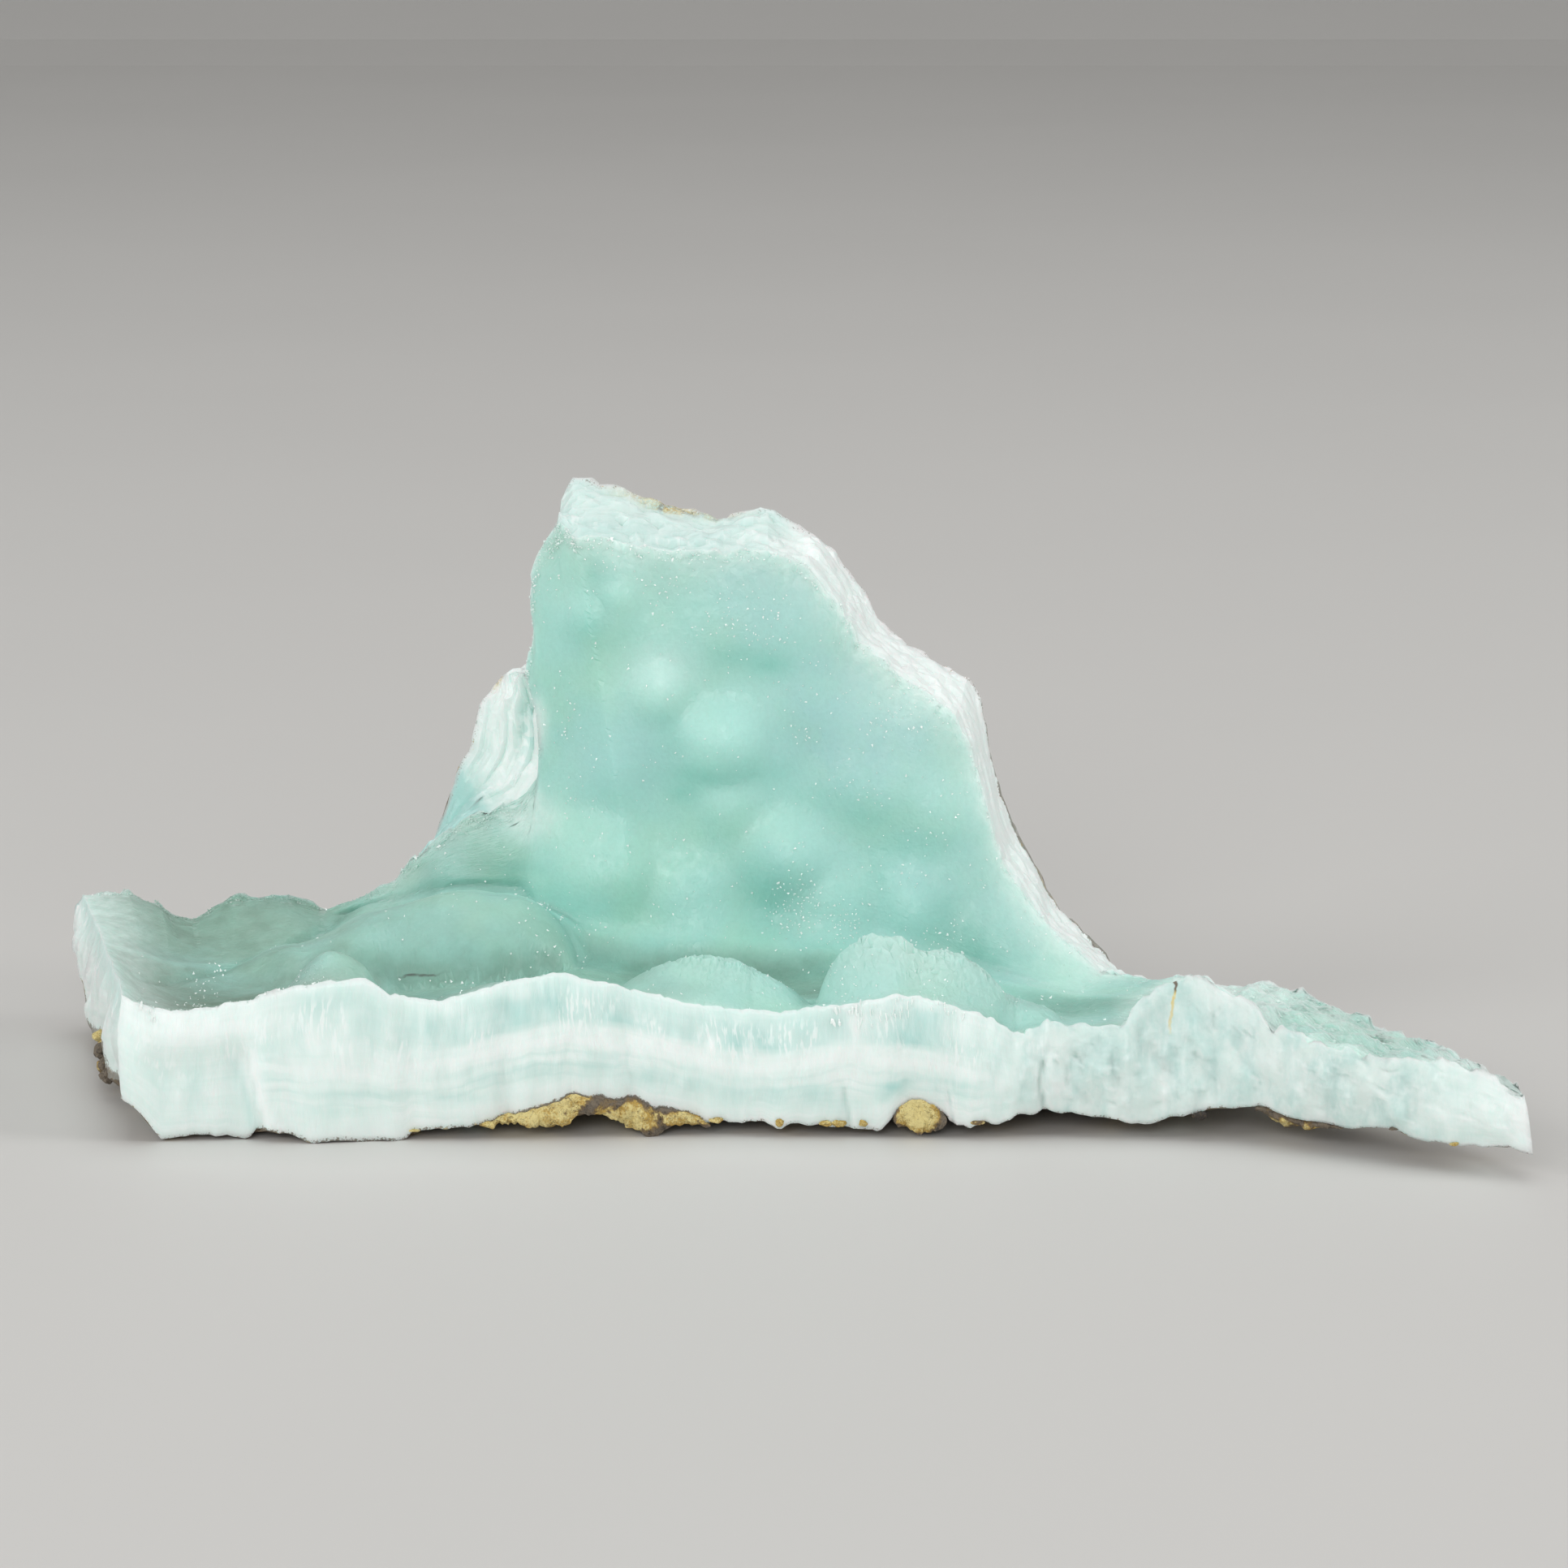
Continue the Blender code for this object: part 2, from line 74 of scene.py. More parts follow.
# Each outline is a list of (station, x, y, z).
FRONT_TOP = [
    (0.0, -46.4, -17.4, 10.5), (1.6, -44.7, -18.0, 9.5), (4.6, -41.4, -18.0, 9.3),
    (8.1, -37.7, -18.0, 10.0), (10.7, -34.9, -18.0, 10.9), (13.1, -32.2, -18.0, 11.6),
    (15.3, -29.9, -18.0, 11.5), (16.9, -28.2, -17.8, 10.3), (20.8, -24.9, -17.4, 10.0),
    (25.2, -21.4, -17.0, 11.0), (31.9, -16.2, -16.6, 11.5), (36.8, -12.6, -16.4, 10.8),
    (41.1, -8.9, -16.2, 9.6), (47.8, -3.2, -16.2, 8.5), (51.2, -0.3, -16.4, 9.1),
    (55.2, 3.4, -16.6, 9.7), (58.7, 6.7, -16.8, 10.1), (62.7, 9.7, -16.8, 9.5),
    (67.1, 12.9, -16.6, 8.4), (69.3, 14.4, -16.4, 7.4), (72.8, 16.9, -16.4, 8.3),
    (75.3, 19.4, -16.5, 7.7), (77.3, 22.0, -16.6, 7.7), (77.9, 22.7, -16.0, 9.1),
    (80.3, 25.7, -14.5, 10.7), (81.2, 26.7, -14.0, 11.0), (82.5, 28.3, -14.0, 10.4),
    (84.6, 30.8, -15.5, 9.1), (85.7, 32.0, -18.0, 7.7), (87.7, 34.4, -19.5, 7.7),
    (89.8, 36.9, -20.6, 7.6), (91.8, 39.3, -21.8, 6.7), (94.8, 42.8, -23.6, 7.1),
    (97.4, 45.9, -25.4, 6.6), (100.0, 48.0, -27.0, 5.7),
]
FRONT_BOTTOM = [
    (0.0, -46.6, -17.5, 2.6), (2.7, -43.5, -18.4, 0.1), (5.4, -40.6, -18.4, 0.6),
    (9.2, -36.5, -18.4, 0.3), (12.6, -32.8, -18.4, 0.1), (16.1, -29.0, -18.0, 0.6),
    (23.2, -22.9, -17.6, 0.7), (27.6, -19.5, -17.2, 1.6), (32.3, -15.8, -16.8, 3.1),
    (35.3, -13.6, -16.6, 2.8), (39.2, -10.6, -16.5, 2.4), (44.2, -6.3, -16.6, 1.0),
    (48.8, -2.3, -17.0, 0.8), (52.7, 1.1, -17.0, 1.0), (57.1, 5.2, -17.0, 0.5),
    (59.3, 7.2, -17.0, 2.6), (61.6, 9.0, -17.0, 2.5), (63.8, 10.5, -17.0, 0.8),
    (69.2, 14.3, -17.0, 1.4), (72.1, 16.4, -17.0, 2.0), (75.3, 19.5, -17.0, 1.5),
    (79.2, 24.3, -17.5, 1.1), (81.3, 26.8, -17.8, 2.0), (83.6, 29.6, -18.4, 2.5),
    (85.5, 31.8, -19.0, 2.6), (88.2, 35.0, -20.5, 1.9), (91.8, 39.3, -22.5, 2.1),
    (95.0, 43.1, -24.5, 1.7), (97.8, 46.4, -26.0, 1.9), (100.0, 48.7, -27.3, 2.1),
]
FOOT = [
    (0.0, -50.1, 0.0, 9.9), (4.0, -46.0, 2.0, 8.0), (8.0, -42.0, 4.0, 7.0), (13.0, -36.0, 6.5, 7.2),
    (17.6, -31.0, 8.0, 8.0), (21.6, -26.0, 8.5, 9.0), (24.0, -21.5, 8.3, 9.0),
    (28.9, -17.8, 7.5, 8.2), (37.0, -11.5, 5.8, 7.0), (51.1, -3.2, 5.5, 6.9), (59.7, 4.8, 5.2, 6.8),
    (66.0, 12.2, 4.3, 6.0), (73.8, 19.8, 1.5, 5.6), (79.4, 26.8, -5.0, 7.0),
    (88.0, 36.2, -14.5, 7.6), (100.0, 48.0, -26.2, 5.6),
]
INNER_RIM = [
    (0.0, -53.3, 13.0, 10.4), (2.6, -50.1, 13.5, 10.8), (4.4, -47.7, 13.5, 9.9),
    (5.2, -47.0, 13.5, 9.0), (6.4, -45.3, 13.5, 8.5), (8.8, -42.2, 13.5, 10.0),
    (11.8, -38.0, 13.5, 10.2), (13.7, -35.5, 13.0, 9.4), (15.9, -32.4, 13.0, 10.5),
    (17.6, -30.2, 12.5, 11.7), (19.4, -27.9, 11.8, 14.0), (21.0, -25.2, 10.8, 16.4),
    (22.2, -22.8, 10.2, 17.5), (23.4, -20.3, 9.8, 18.6), (24.6, -19.0, 9.6, 21.0),
    (26.2, -19.1, 10.0, 24.6), (27.8, -19.6, 10.2, 27.1), (28.9, -19.8, 10.2, 28.0),
    (31.6, -19.9, 10.0, 32.8), (33.9, -19.2, 9.8, 36.7), (35.0, -18.1, 9.4, 38.3),
    (36.4, -17.6, 9.0, 39.0), (37.5, -16.4, 8.3, 38.2), (42.2, -9.3, 8.0, 37.0),
    (46.7, -2.4, 8.0, 37.0), (49.2, 0.0, 8.0, 36.0), (51.1, 2.6, 8.0, 33.3), (54.4, 4.1, 8.0, 30.4),
    (56.9, 7.2, 8.0, 27.8), (58.3, 9.4, 7.8, 26.5), (59.9, 11.3, 7.6, 24.7),
    (61.3, 12.3, 7.4, 22.7), (63.6, 13.2, 7.0, 19.4), (66.8, 14.7, 6.4, 14.1),
    (70.6, 18.5, 5.6, 9.2), (73.5, 22.0, 5.0, 6.3), (75.7, 25.3, 4.6, 6.0), (79.4, 29.3, -1.0, 7.2),
    (82.7, 32.8, -5.8, 8.2), (84.8, 34.8, -8.8, 8.3), (87.0, 36.8, -11.3, 7.9),
    (90.3, 39.9, -14.3, 7.1), (93.5, 42.9, -17.2, 6.7), (95.6, 44.8, -19.7, 6.6),
    (100.0, 48.0, -25.4, 5.4),
]
OUTER_RIM = [
    (0.0, -53.9, 14.3, 5.5), (4.4, -48.0, 15.0, 5.0), (8.8, -42.4, 15.2, 4.8),
    (13.7, -35.6, 15.2, 5.0), (17.6, -30.2, 15.0, 8.0), (19.4, -28.4, 14.6, 11.8),
    (20.9, -27.0, 14.0, 15.0), (22.6, -25.6, 13.0, 19.1), (24.9, -24.2, 13.0, 22.9),
    (26.2, -23.5, 13.0, 25.0), (27.6, -21.9, 13.0, 27.0), (28.4, -20.4, 13.0, 27.1),
    (28.9, -19.6, 13.4, 27.5), (31.6, -19.0, 14.2, 32.0), (33.9, -18.3, 14.2, 35.8),
    (35.0, -17.7, 14.0, 37.6), (36.4, -17.5, 13.4, 40.1), (37.5, -16.6, 13.5, 41.6),
    (39.6, -13.3, 13.5, 40.8), (42.2, -9.4, 13.5, 39.4), (44.4, -6.0, 13.5, 38.7),
    (46.7, -2.4, 13.5, 39.1), (48.1, -0.5, 13.5, 38.2), (49.6, 1.7, 13.5, 37.0),
    (51.1, 3.1, 13.4, 35.2), (53.2, 5.0, 13.2, 32.7), (54.7, 5.9, 13.0, 30.7),
    (57.8, 9.6, 13.0, 28.1), (59.7, 12.3, 12.8, 27.0), (60.8, 13.2, 12.6, 25.3),
    (63.3, 14.0, 12.2, 20.8), (65.0, 14.8, 12.0, 18.0), (67.2, 16.5, 11.5, 14.4),
    (69.8, 18.7, 11.0, 10.3), (72.4, 21.9, 10.2, 7.0), (73.8, 23.6, 9.6, 5.2),
    (76.0, 26.4, 7.0, 3.4), (79.4, 30.0, 1.0, 3.8), (82.7, 33.5, -4.4, 4.6),
    (87.0, 37.4, -9.8, 4.4), (93.5, 43.3, -16.0, 3.6), (100.0, 48.4, -25.0, 3.0),
]
BACK_FOOT = [
    (0.0, -52.5, 9.0, 1.2), (8.0, -44.0, 11.0, 1.0), (17.6, -31.0, 14.3, 0.6),
    (24.0, -22.5, 15.0, 0.2), (28.9, -18.5, 15.2, 0.1), (37.0, -12.5, 15.2, 0.1),
    (51.1, -3.2, 14.8, 0.2), (59.7, 5.0, 14.3, 0.2), (66.0, 12.5, 13.0, 0.5),
    (73.8, 21.0, 9.0, 1.2), (79.4, 28.0, 2.0, 1.6), (88.0, 37.0, -11.5, 2.0),
    (100.0, 48.3, -25.8, 2.6),
]

# How far the floor sags between its front edge and the foot: (station, depth).
SAG = [(0, 0.0), (4, 1.2), (14, 2.0), (30, 1.6), (60, 1.2), (74, 0.8), (80, 0.0), (100, 0.3)]

# Rounded lobes of the wall: (x, z, half width, how far each stands out).
WALL_LOBES = [
    (-10.3, 26.7, 3.2, 1.4), (-5.7, 23.1, 4.3, 2.0), (-15.8, 31.9, 3.0, 1.1),
    (-13.2, 33.6, 2.6, 1.0), (-15.6, 13.4, 6.0, 2.5), (-5.2, 18.0, 3.6, 1.1),
    (-1.2, 14.6, 4.8, 1.9), (2.0, 10.6, 4.8, 1.7), (7.8, 10.6, 4.0, 1.2), (-7.8, 11.0, 5.4, 1.5),
    (-14.5, 21.3, 4.4, 1.0), (4.5, 20.5, 6.5, 1.2), (14.2, 9.0, 4.4, 1.3), (-6.8, 31.8, 5.2, 0.8),
    (-0.8, 30.6, 5.0, 0.8), (-21.3, 14.6, 3.4, 1.4), (-26.4, 13.2, 2.8, 1.0), (9.5, 16.8, 4.0, 0.8),
]

# Rounded lobes of the floor: (x, y, half width, how far each stands up).
FLOOR_LOBES = [
    (-6.2, -9.8, 7.2, 4.4), (5.4, -11.8, 4.6, 5.2), (9.4, -11.4, 5.4, 4.6), (14.0, -9.6, 4.6, 2.8),
    (-50.0, 9.0, 5.0, 1.4), (-43.0, -12.0, 4.0, 0.6), (19.0, -8.0, 5.0, 0.9),
    (33.5, -12.6, 3.2, 1.3), (38.4, -17.6, 2.8, 1.0), (43.0, -20.8, 2.4, 0.8),
]

# A pointed bump just behind the front edge: (x, y, half width, how far it stands up).
BUMP = (-32.3, -14.2, 4.4, 4.6)

# A long lobe lying across the floor to the wall's left foot:
# (x, y, half width, how far it stands up) from one end to the other.
LONG_LOBE = [
    (-41.0, 0.0, 4.6, 1.2), (-36.0, 2.0, 5.6, 2.6), (-30.0, 3.2, 6.8, 4.4), (-24.0, 3.6, 7.2, 5.0),
    (-21.2, 4.0, 6.2, 4.6),
]

# Places where the underside reaches the table: (x, y, half width, drop).
FEET = [
    (-41.0, -15.2, 4.6, 2.4), (-30.5, -15.4, 4.4, 2.4), (-25.0, 10.0, 6.4, 2.6),
    (10.5, 9.0, 5.6, 2.6),
]

# How thick each remnant of host rock is along its front edge, as it runs from its
# left end to its right: (share of its length, thickness).
FRONT_ROCK = [
    (0.0, 0.4), (0.16, 0.8), (0.30, 1.6), (0.39, 1.9), (0.47, 1.1), (0.60, 1.4), (0.68, 2.4),
    (0.76, 2.4), (0.86, 1.2), (1.0, 0.4),
]
RIGHT_ROCK = [(0.0, 1.4), (0.5, 2.6), (1.0, 1.2)]
TAIL_ROCK = [(0.0, 0.3), (0.3, 0.7), (0.7, 0.5), (1.0, 0.3)]
CORNER_ROCK = [(0.0, 1.0), (0.4, 1.4), (1.0, 0.5)]

# Upright cracks of the front: (station, half width, depth where it starts, how deep).
CRACKS = [(54.9, 0.22, 0.62, 0.30), (72.2, 0.20, 0.35, 0.42), (63.4, 0.2, 0.7, 0.25)]

# Soft clouds of colour on the wall: (x, z, half width, half height, amount).
PALE_CLOUDS = [
    (-10.1, 28.3, 3.2, 2.9, 0.9), (-5.7, 24.0, 3.9, 3.8, 0.85), (-12.8, 35.3, 2.2, 2.0, 0.4),
    (-17.4, 33.9, 1.9, 4.0, 0.5), (-4.9, 19.6, 3.0, 2.0, 0.35), (-1.3, 17.8, 3.0, 2.4, 0.5),
    (1.0, 15.4, 3.2, 3.0, 0.55), (2.7, 12.2, 3.0, 2.8, 0.45), (-15.7, 14.8, 5.6, 4.4, 0.45),
    (-11.1, 14.6, 5.0, 3.6, 0.3), (7.5, 12.4, 3.6, 3.2, 0.3), (-7.5, 12.6, 4.6, 3.2, 0.25),
    (-23.5, 15.7, 3.1, 2.0, 0.35), (9.5, 20.5, 4.2, 3.6, 0.3), (4.2, 25.3, 3.6, 2.4, 0.25),
    (-14.6, 22.9, 3.6, 3.0, 0.25), (-1.6, 32.5, 3.6, 2.4, 0.3), (17.9, 9.7, 3.0, 2.4, 0.4),
]
DEEP_CLOUDS = [
    (-14.6, 35.0, 1.5, 2.7, 0.8), (-16.2, 31.5, 2.4, 1.3, 0.55), (-4.9, 29.3, 2.6, 1.1, 0.6),
    (-2.5, 28.7, 2.0, 1.1, 0.9), (-8.1, 26.3, 1.8, 1.2, 0.4), (-9.2, 23.7, 1.2, 2.0, 0.55),
    (-7.4, 20.6, 3.1, 1.2, 0.8), (-8.4, 19.4, 1.5, 1.0, 0.9), (-2.5, 20.7, 2.6, 1.5, 0.45),
    (0.7, 18.9, 3.6, 1.4, 0.4), (-2.8, 11.1, 2.7, 3.6, 0.55), (7.8, 15.3, 3.0, 1.3, 0.6),
    (5.8, 13.2, 1.2, 2.4, 0.45), (10.2, 10.8, 2.1, 2.4, 0.4), (-8.1, 33.3, 3.6, 1.8, 0.4),
    (-11.6, 30.6, 3.6, 1.2, 0.35), (4.3, 18.0, 3.6, 1.8, 0.3), (-17.0, 9.6, 3.6, 1.0, 0.6),
    (-12.3, 8.0, 4.2, 0.8, 0.6), (-5.2, 7.7, 5.4, 1.1, 0.55), (1.3, 8.0, 3.6, 1.0, 0.5),
    (12.6, 8.6, 3.6, 2.2, 0.6), (-20.6, 13.5, 2.4, 0.6, 0.6),
]
BLUE_CLOUDS = [
    (4.2, 24.0, 7.7, 6.0, 0.8), (-2.8, 34.2, 5.4, 3.6, 0.7), (9.6, 12.6, 5.4, 4.8, 0.5),
    (14.4, 8.9, 3.6, 3.6, 0.5), (-13.4, 22.2, 5.4, 3.0, 0.5), (1.3, 14.4, 3.6, 4.2, 0.6),
    (6.5, 35.9, 4.8, 3.6, 0.3),
]

# Where the druse sparkles most on the wall, in the same terms; the sparkle is painted as white glint
# crystals.
SPARKLES = [
    (-0.2, 11.3, 1.8, 2.0, 1.0), (3.1, 9.9, 1.5, 1.2, 1.0), (-3.4, 31.2, 2.7, 1.5, 0.5),
    (-13.9, 36.5, 1.1, 1.0, 0.6), (-9.5, 34.7, 2.4, 1.4, 0.5), (8.3, 24.9, 3.0, 1.4, 0.6),
    (-0.5, 23.7, 1.2, 0.6, 0.7), (-4.9, 32.4, 2.4, 1.2, 0.4), (5.1, 19.5, 1.8, 1.2, 0.4),
    (-16.9, 23.7, 1.2, 1.0, 0.4), (-17.0, 8.9, 2.4, 0.8, 0.5), (9.6, 8.9, 2.4, 1.2, 0.5),
    (-19.5, 10.8, 1.5, 0.8, 0.6), (-42.5, 7.2, 1.2, 0.5, 0.6),
]

# Crests and hollows of the floor: (x, y, half width, half length, amount). The hollows
# are coloured deeper and greyer, partly as painted shade.
CRESTS = [
    (-6.2, -9.0, 7.0, 4.0, 1.0), (5.4, -11.0, 5.0, 4.0, 1.0), (9.4, -10.6, 6.0, 4.0, 1.0),
    (14.0, -9.0, 5.0, 4.0, 0.8), (-50.0, 9.0, 5.0, 5.0, 0.4), (33.5, -12.6, 4.0, 4.0, 0.6),
]
FLOOR_HOLLOWS = [
    (1.1, -8.5, 1.8, 3.8, 0.9), (19.4, -3.0, 5.0, 4.6, 0.95), (-11.0, 3.0, 6.0, 2.4, 0.9),
    (2.0, 3.0, 11.0, 2.6, 1.0), (-20.0, -7.5, 9.0, 4.0, 0.5), (40.0, -19.0, 4.0, 2.2, 0.6),
    (-6.5, -1.0, 6.5, 2.6, 0.9), (-39.0, -9.0, 7.0, 3.4, 0.35),
]

# The milky growth band of the front, (x, z), and milky and aqua spots beside it:
# (x, z, half width, half height, amount).
MILK_LINE = [
    (-38.0, 5.4), (-33.0, 5.2), (-29.0, 5.0), (-26.5, 5.1), (-24.5, 5.6), (-21.6, 6.2),
    (-18.9, 6.9), (-16.1, 7.3), (-13.3, 7.0), (-10.5, 6.4), (-7.7, 5.7), (-5.0, 5.0), (-2.2, 4.9),
    (0.6, 5.4), (3.4, 6.0), (6.2, 5.6), (9.5, 5.3), (12.0, 4.7),
]
# Growth lines: (distance above the band, half width, amount, colour).
GROWTH_LINES = [
    (0.0, 0.40, 0.75, "milk"), (0.75, 0.20, 0.20, "milk"), (-0.85, 0.18, 0.34, "aqua"),
    (-1.30, 0.22, 0.45, "milk"), (-1.75, 0.15, 0.38, "aqua"), (-2.45, 0.16, 0.28, "aqua"),
]
MILK_SPOTS = [
    (-42.2, 8.0, 3.4, 1.0, 0.9), (-43.8, 8.8, 1.7, 0.8, 0.8), (-38.3, 8.8, 1.7, 1.1, 0.4),
    (-46.0, 9.4, 0.6, 1.7, 0.8), (-35.7, 10.8, 3.4, 0.4, 0.6), (-33.6, 7.4, 0.7, 0.7, 0.7),
    (-26.1, 8.5, 0.3, 1.7, 0.5), (-24.4, 9.4, 1.7, 0.6, 0.6), (-19.4, 10.4, 3.4, 0.6, 0.5),
    (3.9, 4.8, 2.2, 0.6, 0.4), (-6.3, 6.4, 0.4, 0.7, 0.9), (-3.6, 6.2, 0.4, 0.7, 0.9),
    (3.7, 8.1, 1.0, 1.6, 0.9), (5.3, 8.8, 0.6, 1.1, 0.6), (10.6, 8.1, 1.7, 0.9, 0.5),
    (7.3, 9.4, 3.4, 0.6, 0.4), (13.7, 3.9, 0.8, 0.8, 0.8), (17.6, 3.7, 1.0, 1.0, 0.9),
    (16.7, 6.5, 1.1, 1.1, 0.5), (22.8, 8.8, 1.1, 0.8, 0.5), (29.5, 9.7, 1.7, 1.1, 0.8),
    (31.4, 8.4, 1.7, 1.1, 0.6), (32.2, 6.2, 1.7, 0.9, 0.5), (33.8, 4.7, 1.7, 1.1, 0.4),
    (21.5, 3.4, 0.6, 1.2, 0.5), (24.8, 3.7, 0.4, 1.5, 0.8), (-21.7, 2.2, 3.4, 0.6, 0.5),
    (-16.1, 3.7, 4.5, 0.4, 0.4), (44.2, 3.9, 2.8, 1.1, 0.5), (47.8, 3.9, 1.3, 1.7, 1.0),
    (-36.2, 3.1, 1.7, 1.7, 0.5),
]
AQUA_SPOTS = [
    (-33.0, 9.7, 1.5, 1.5, 0.7), (-31.3, 10.3, 1.2, 1.2, 0.6), (-29.4, 8.8, 1.3, 2.5, 0.6),
    (-34.3, 8.0, 0.6, 1.7, 0.5), (-25.5, 8.1, 1.9, 1.5, 0.8), (-27.2, 7.7, 1.0, 1.5, 0.6),
    (-5.5, 7.8, 1.2, 1.3, 0.8), (-0.2, 7.6, 1.1, 1.5, 0.75), (11.7, 6.5, 1.1, 1.1, 0.35),
    (-36.4, 5.4, 1.3, 2.2, 0.3), (-41.7, 4.2, 0.9, 2.2, 0.45), (-38.9, 4.2, 0.9, 2.2, 0.3),
    (-43.9, 4.2, 0.8, 2.2, 0.3), (-30.0, 3.4, 3.9, 0.4, 0.55), (-23.9, 3.1, 2.8, 0.4, 0.5),
    (-32.8, 2.4, 2.8, 0.4, 0.35), (-21.7, 4.5, 1.7, 0.7, 0.5), (-18.4, 5.0, 2.6, 0.7, 0.5),
    (-13.9, 5.3, 1.7, 0.8, 0.6), (-10.5, 4.2, 2.2, 0.8, 0.7), (-7.2, 3.7, 1.7, 0.8, 0.6),
    (-4.7, 3.1, 1.7, 0.9, 0.6), (-1.9, 3.1, 1.3, 0.9, 0.7), (0.6, 3.1, 1.7, 1.0, 0.7),
    (2.6, 2.5, 1.1, 1.1, 0.5), (6.2, 3.7, 1.2, 0.7, 1.0), (7.2, 4.2, 1.3, 0.5, 0.8),
    (5.6, 3.0, 0.8, 0.4, 0.7), (9.0, 3.9, 1.1, 0.5, 0.5), (10.9, 3.7, 1.1, 0.7, 0.6),
    (13.7, 6.0, 1.1, 1.7, 0.3), (15.2, 3.4, 0.8, 1.1, 0.5), (19.5, 6.5, 1.1, 1.7, 0.4),
    (23.4, 4.8, 0.8, 2.2, 0.5), (27.0, 8.1, 1.1, 1.5, 0.8), (25.1, 6.5, 0.8, 1.5, 0.5),
    (28.4, 4.8, 0.8, 1.7, 0.35),
]

# Where the host rock at the front is yellow, (x, z) as above; elsewhere it is grey-brown.
YELLOW_SPOTS = [
    (-18.9, 1.8, 3.3, 1.5, 1.2), (-15.9, 2.8, 1.3, 0.8, 1.0), (-12.2, 1.2, 2.3, 1.1, 1.0),
    (-8.0, 1.3, 2.2, 0.7, 0.7), (7.9, 1.8, 1.3, 1.2, 1.7), (32.8, 1.6, 0.9, 0.5, 0.8),
    (34.2, 1.0, 0.6, 0.6, 0.9), (35.0, 1.1, 0.4, 0.5, 0.8), (-50.4, 2.2, 1.2, 0.6, 0.7),
]

# The thin vein of the cross ridge: where it lies at z 0, its lean, and its ends in z.
VEIN_X = 24.26
VEIN_LEAN = 0.136
VEIN_LOW = 7.3
VEIN_HIGH = 10.6

# Broken crystals of the front: (first and last station, least and greatest depth,
# number, half width, length).
SPLINTERS = [
    (53.6, 55.6, 0.02, 0.18, 10, 0.09, 0.4), (55.6, 60.2, 0.03, 0.20, 24, 0.05, 0.5),
    (60.2, 64.5, 0.02, 0.10, 10, 0.05, 0.3), (1.0, 2.2, 0.01, 0.10, 10, 0.07, 0.3),
]

# Remnants of host rock: (node, cells, first and last station, first and last reach,
# thickness along the front, lowest z).
REMNANTS = [
    ("host_rock_front", (110, 18, 10), 24.5, 43.8, 0.0, 0.16, FRONT_ROCK, 0.0),
    ("host_rock_right", (30, 18, 12), 58.6, 62.4, 0.0, 0.16, RIGHT_ROCK, 0.0),
    ("host_rock_tail", (36, 24, 6), 85.0, 89.5, 0.02, 0.3, TAIL_ROCK, 0.3),
    ("host_rock_corner", (24, 30, 8), 0.6, 5.0, 0.26, 0.42, CORNER_ROCK, 0.0),
]

# Crumbs at the lower edge: (share of yellow, station, reach, depth, half sizes, seed).
CRUMBS = {
    "crumbs": [
        (0.7, 49.6, 0.0, 0.94, (0.30, 0.22, 0.28), 101),
        (0.6, 53.2, 0.0, 0.98, (0.45, 0.25, 0.22), 103),
        (0.6, 54.2, 0.0, 0.97, (0.50, 0.28, 0.26), 105),
        (0.7, 56.0, 0.0, 0.95, (0.28, 0.22, 0.26), 107),
        (0.7, 65.9, 0.0, 0.98, (0.48, 0.24, 0.16), 109),
        (0.6, 44.6, 0.0, 0.99, (0.50, 0.25, 0.20), 111),
        (0.9, 95.6, 0.0, 0.99, (0.35, 0.20, 0.14), 113),
        (0.9, 18.8, 0.0, 1.0, (0.35, 0.20, 0.10), 115),
        (1.0, 0.1, 0.345, 0.97, (0.60, 0.75, 0.42), 131),
        (0.8, 0.1, 0.30, 1.0, (0.55, 0.80, 0.36), 133),
    ],
    "pebbles": [
        (0.1, 0.0, 0.27, 0.95, (0.62, 0.85, 0.60), 135),
        (0.3, 0.0, 0.23, 0.99, (0.60, 0.90, 0.62), 137),
        (0.0, 0.1, 0.19, 1.0, (0.55, 0.80, 0.50), 139),
        (-0.6, 81.7, 0.0, 1.02, (0.55, 0.42, 0.28), 121),
        (0.0, 92.3, 0.0, 0.99, (0.35, 0.25, 0.12), 123),
    ],
}

# Where the long lobe meets the low strip behind the front edge, and all creases of the
# left floor round that lobe: (station, reach).
LOBE_FOOT = [
    (16.0, 0.29), (18.6, 0.272), (20.8, 0.262), (23.6, 0.263), (26.0, 0.278), (29.5, 0.315),
    (32.0, 0.35),
]
CREASES = [
    [(2.0, 0.30), (4.5, 0.36), (7.3, 0.40), (10.6, 0.50), (13.7, 0.70), (15.2, 0.89)],
    [
        (15.2, 0.89), (17.0, 0.87), (20.6, 0.675), (22.8, 0.635), (24.6, 0.585),
        (28.5, 0.438), (31.2, 0.357),
    ],
    LOBE_FOOT[:-1],
]

CAMERA_PLACE = (0.001405, -0.348958, 0.093647)
CAMERA_TARGET = (0.001405, -0.005984, 0.023869)

# Where the backdrop begins to rise from the floor, and the radius of that bend, in metres.
BACKDROP_Y = 1.2
BACKDROP_BEND = 0.5


def along(outline, station):
    """Points of an outline at the stations, by straight runs between its points."""
    rows = np.array(outline, float)
    columns = [np.interp(station, rows[:, 0], rows[:, k]) for k in range(1, rows.shape[1])]
    return np.stack(columns, axis=-1)


def swell(distance, power=0.75):
    """A round hump, 1 in the middle and 0 beyond distance 1; more power softens its foot."""
    return np.clip(1.0 - distance**2, 0.0, None) ** power


def bell(away, width, power=2):
    """1 in the middle, and less on both sides of it; more power makes its top broader."""
    return np.exp(-((away / width) ** power))


def ramp(value, start, end):
    """0 up to start and 1 from end on, with an eased passage between them."""
    share = np.clip((value - start) / (end - start), 0, 1)
    return share * share * (3 - 2 * share)


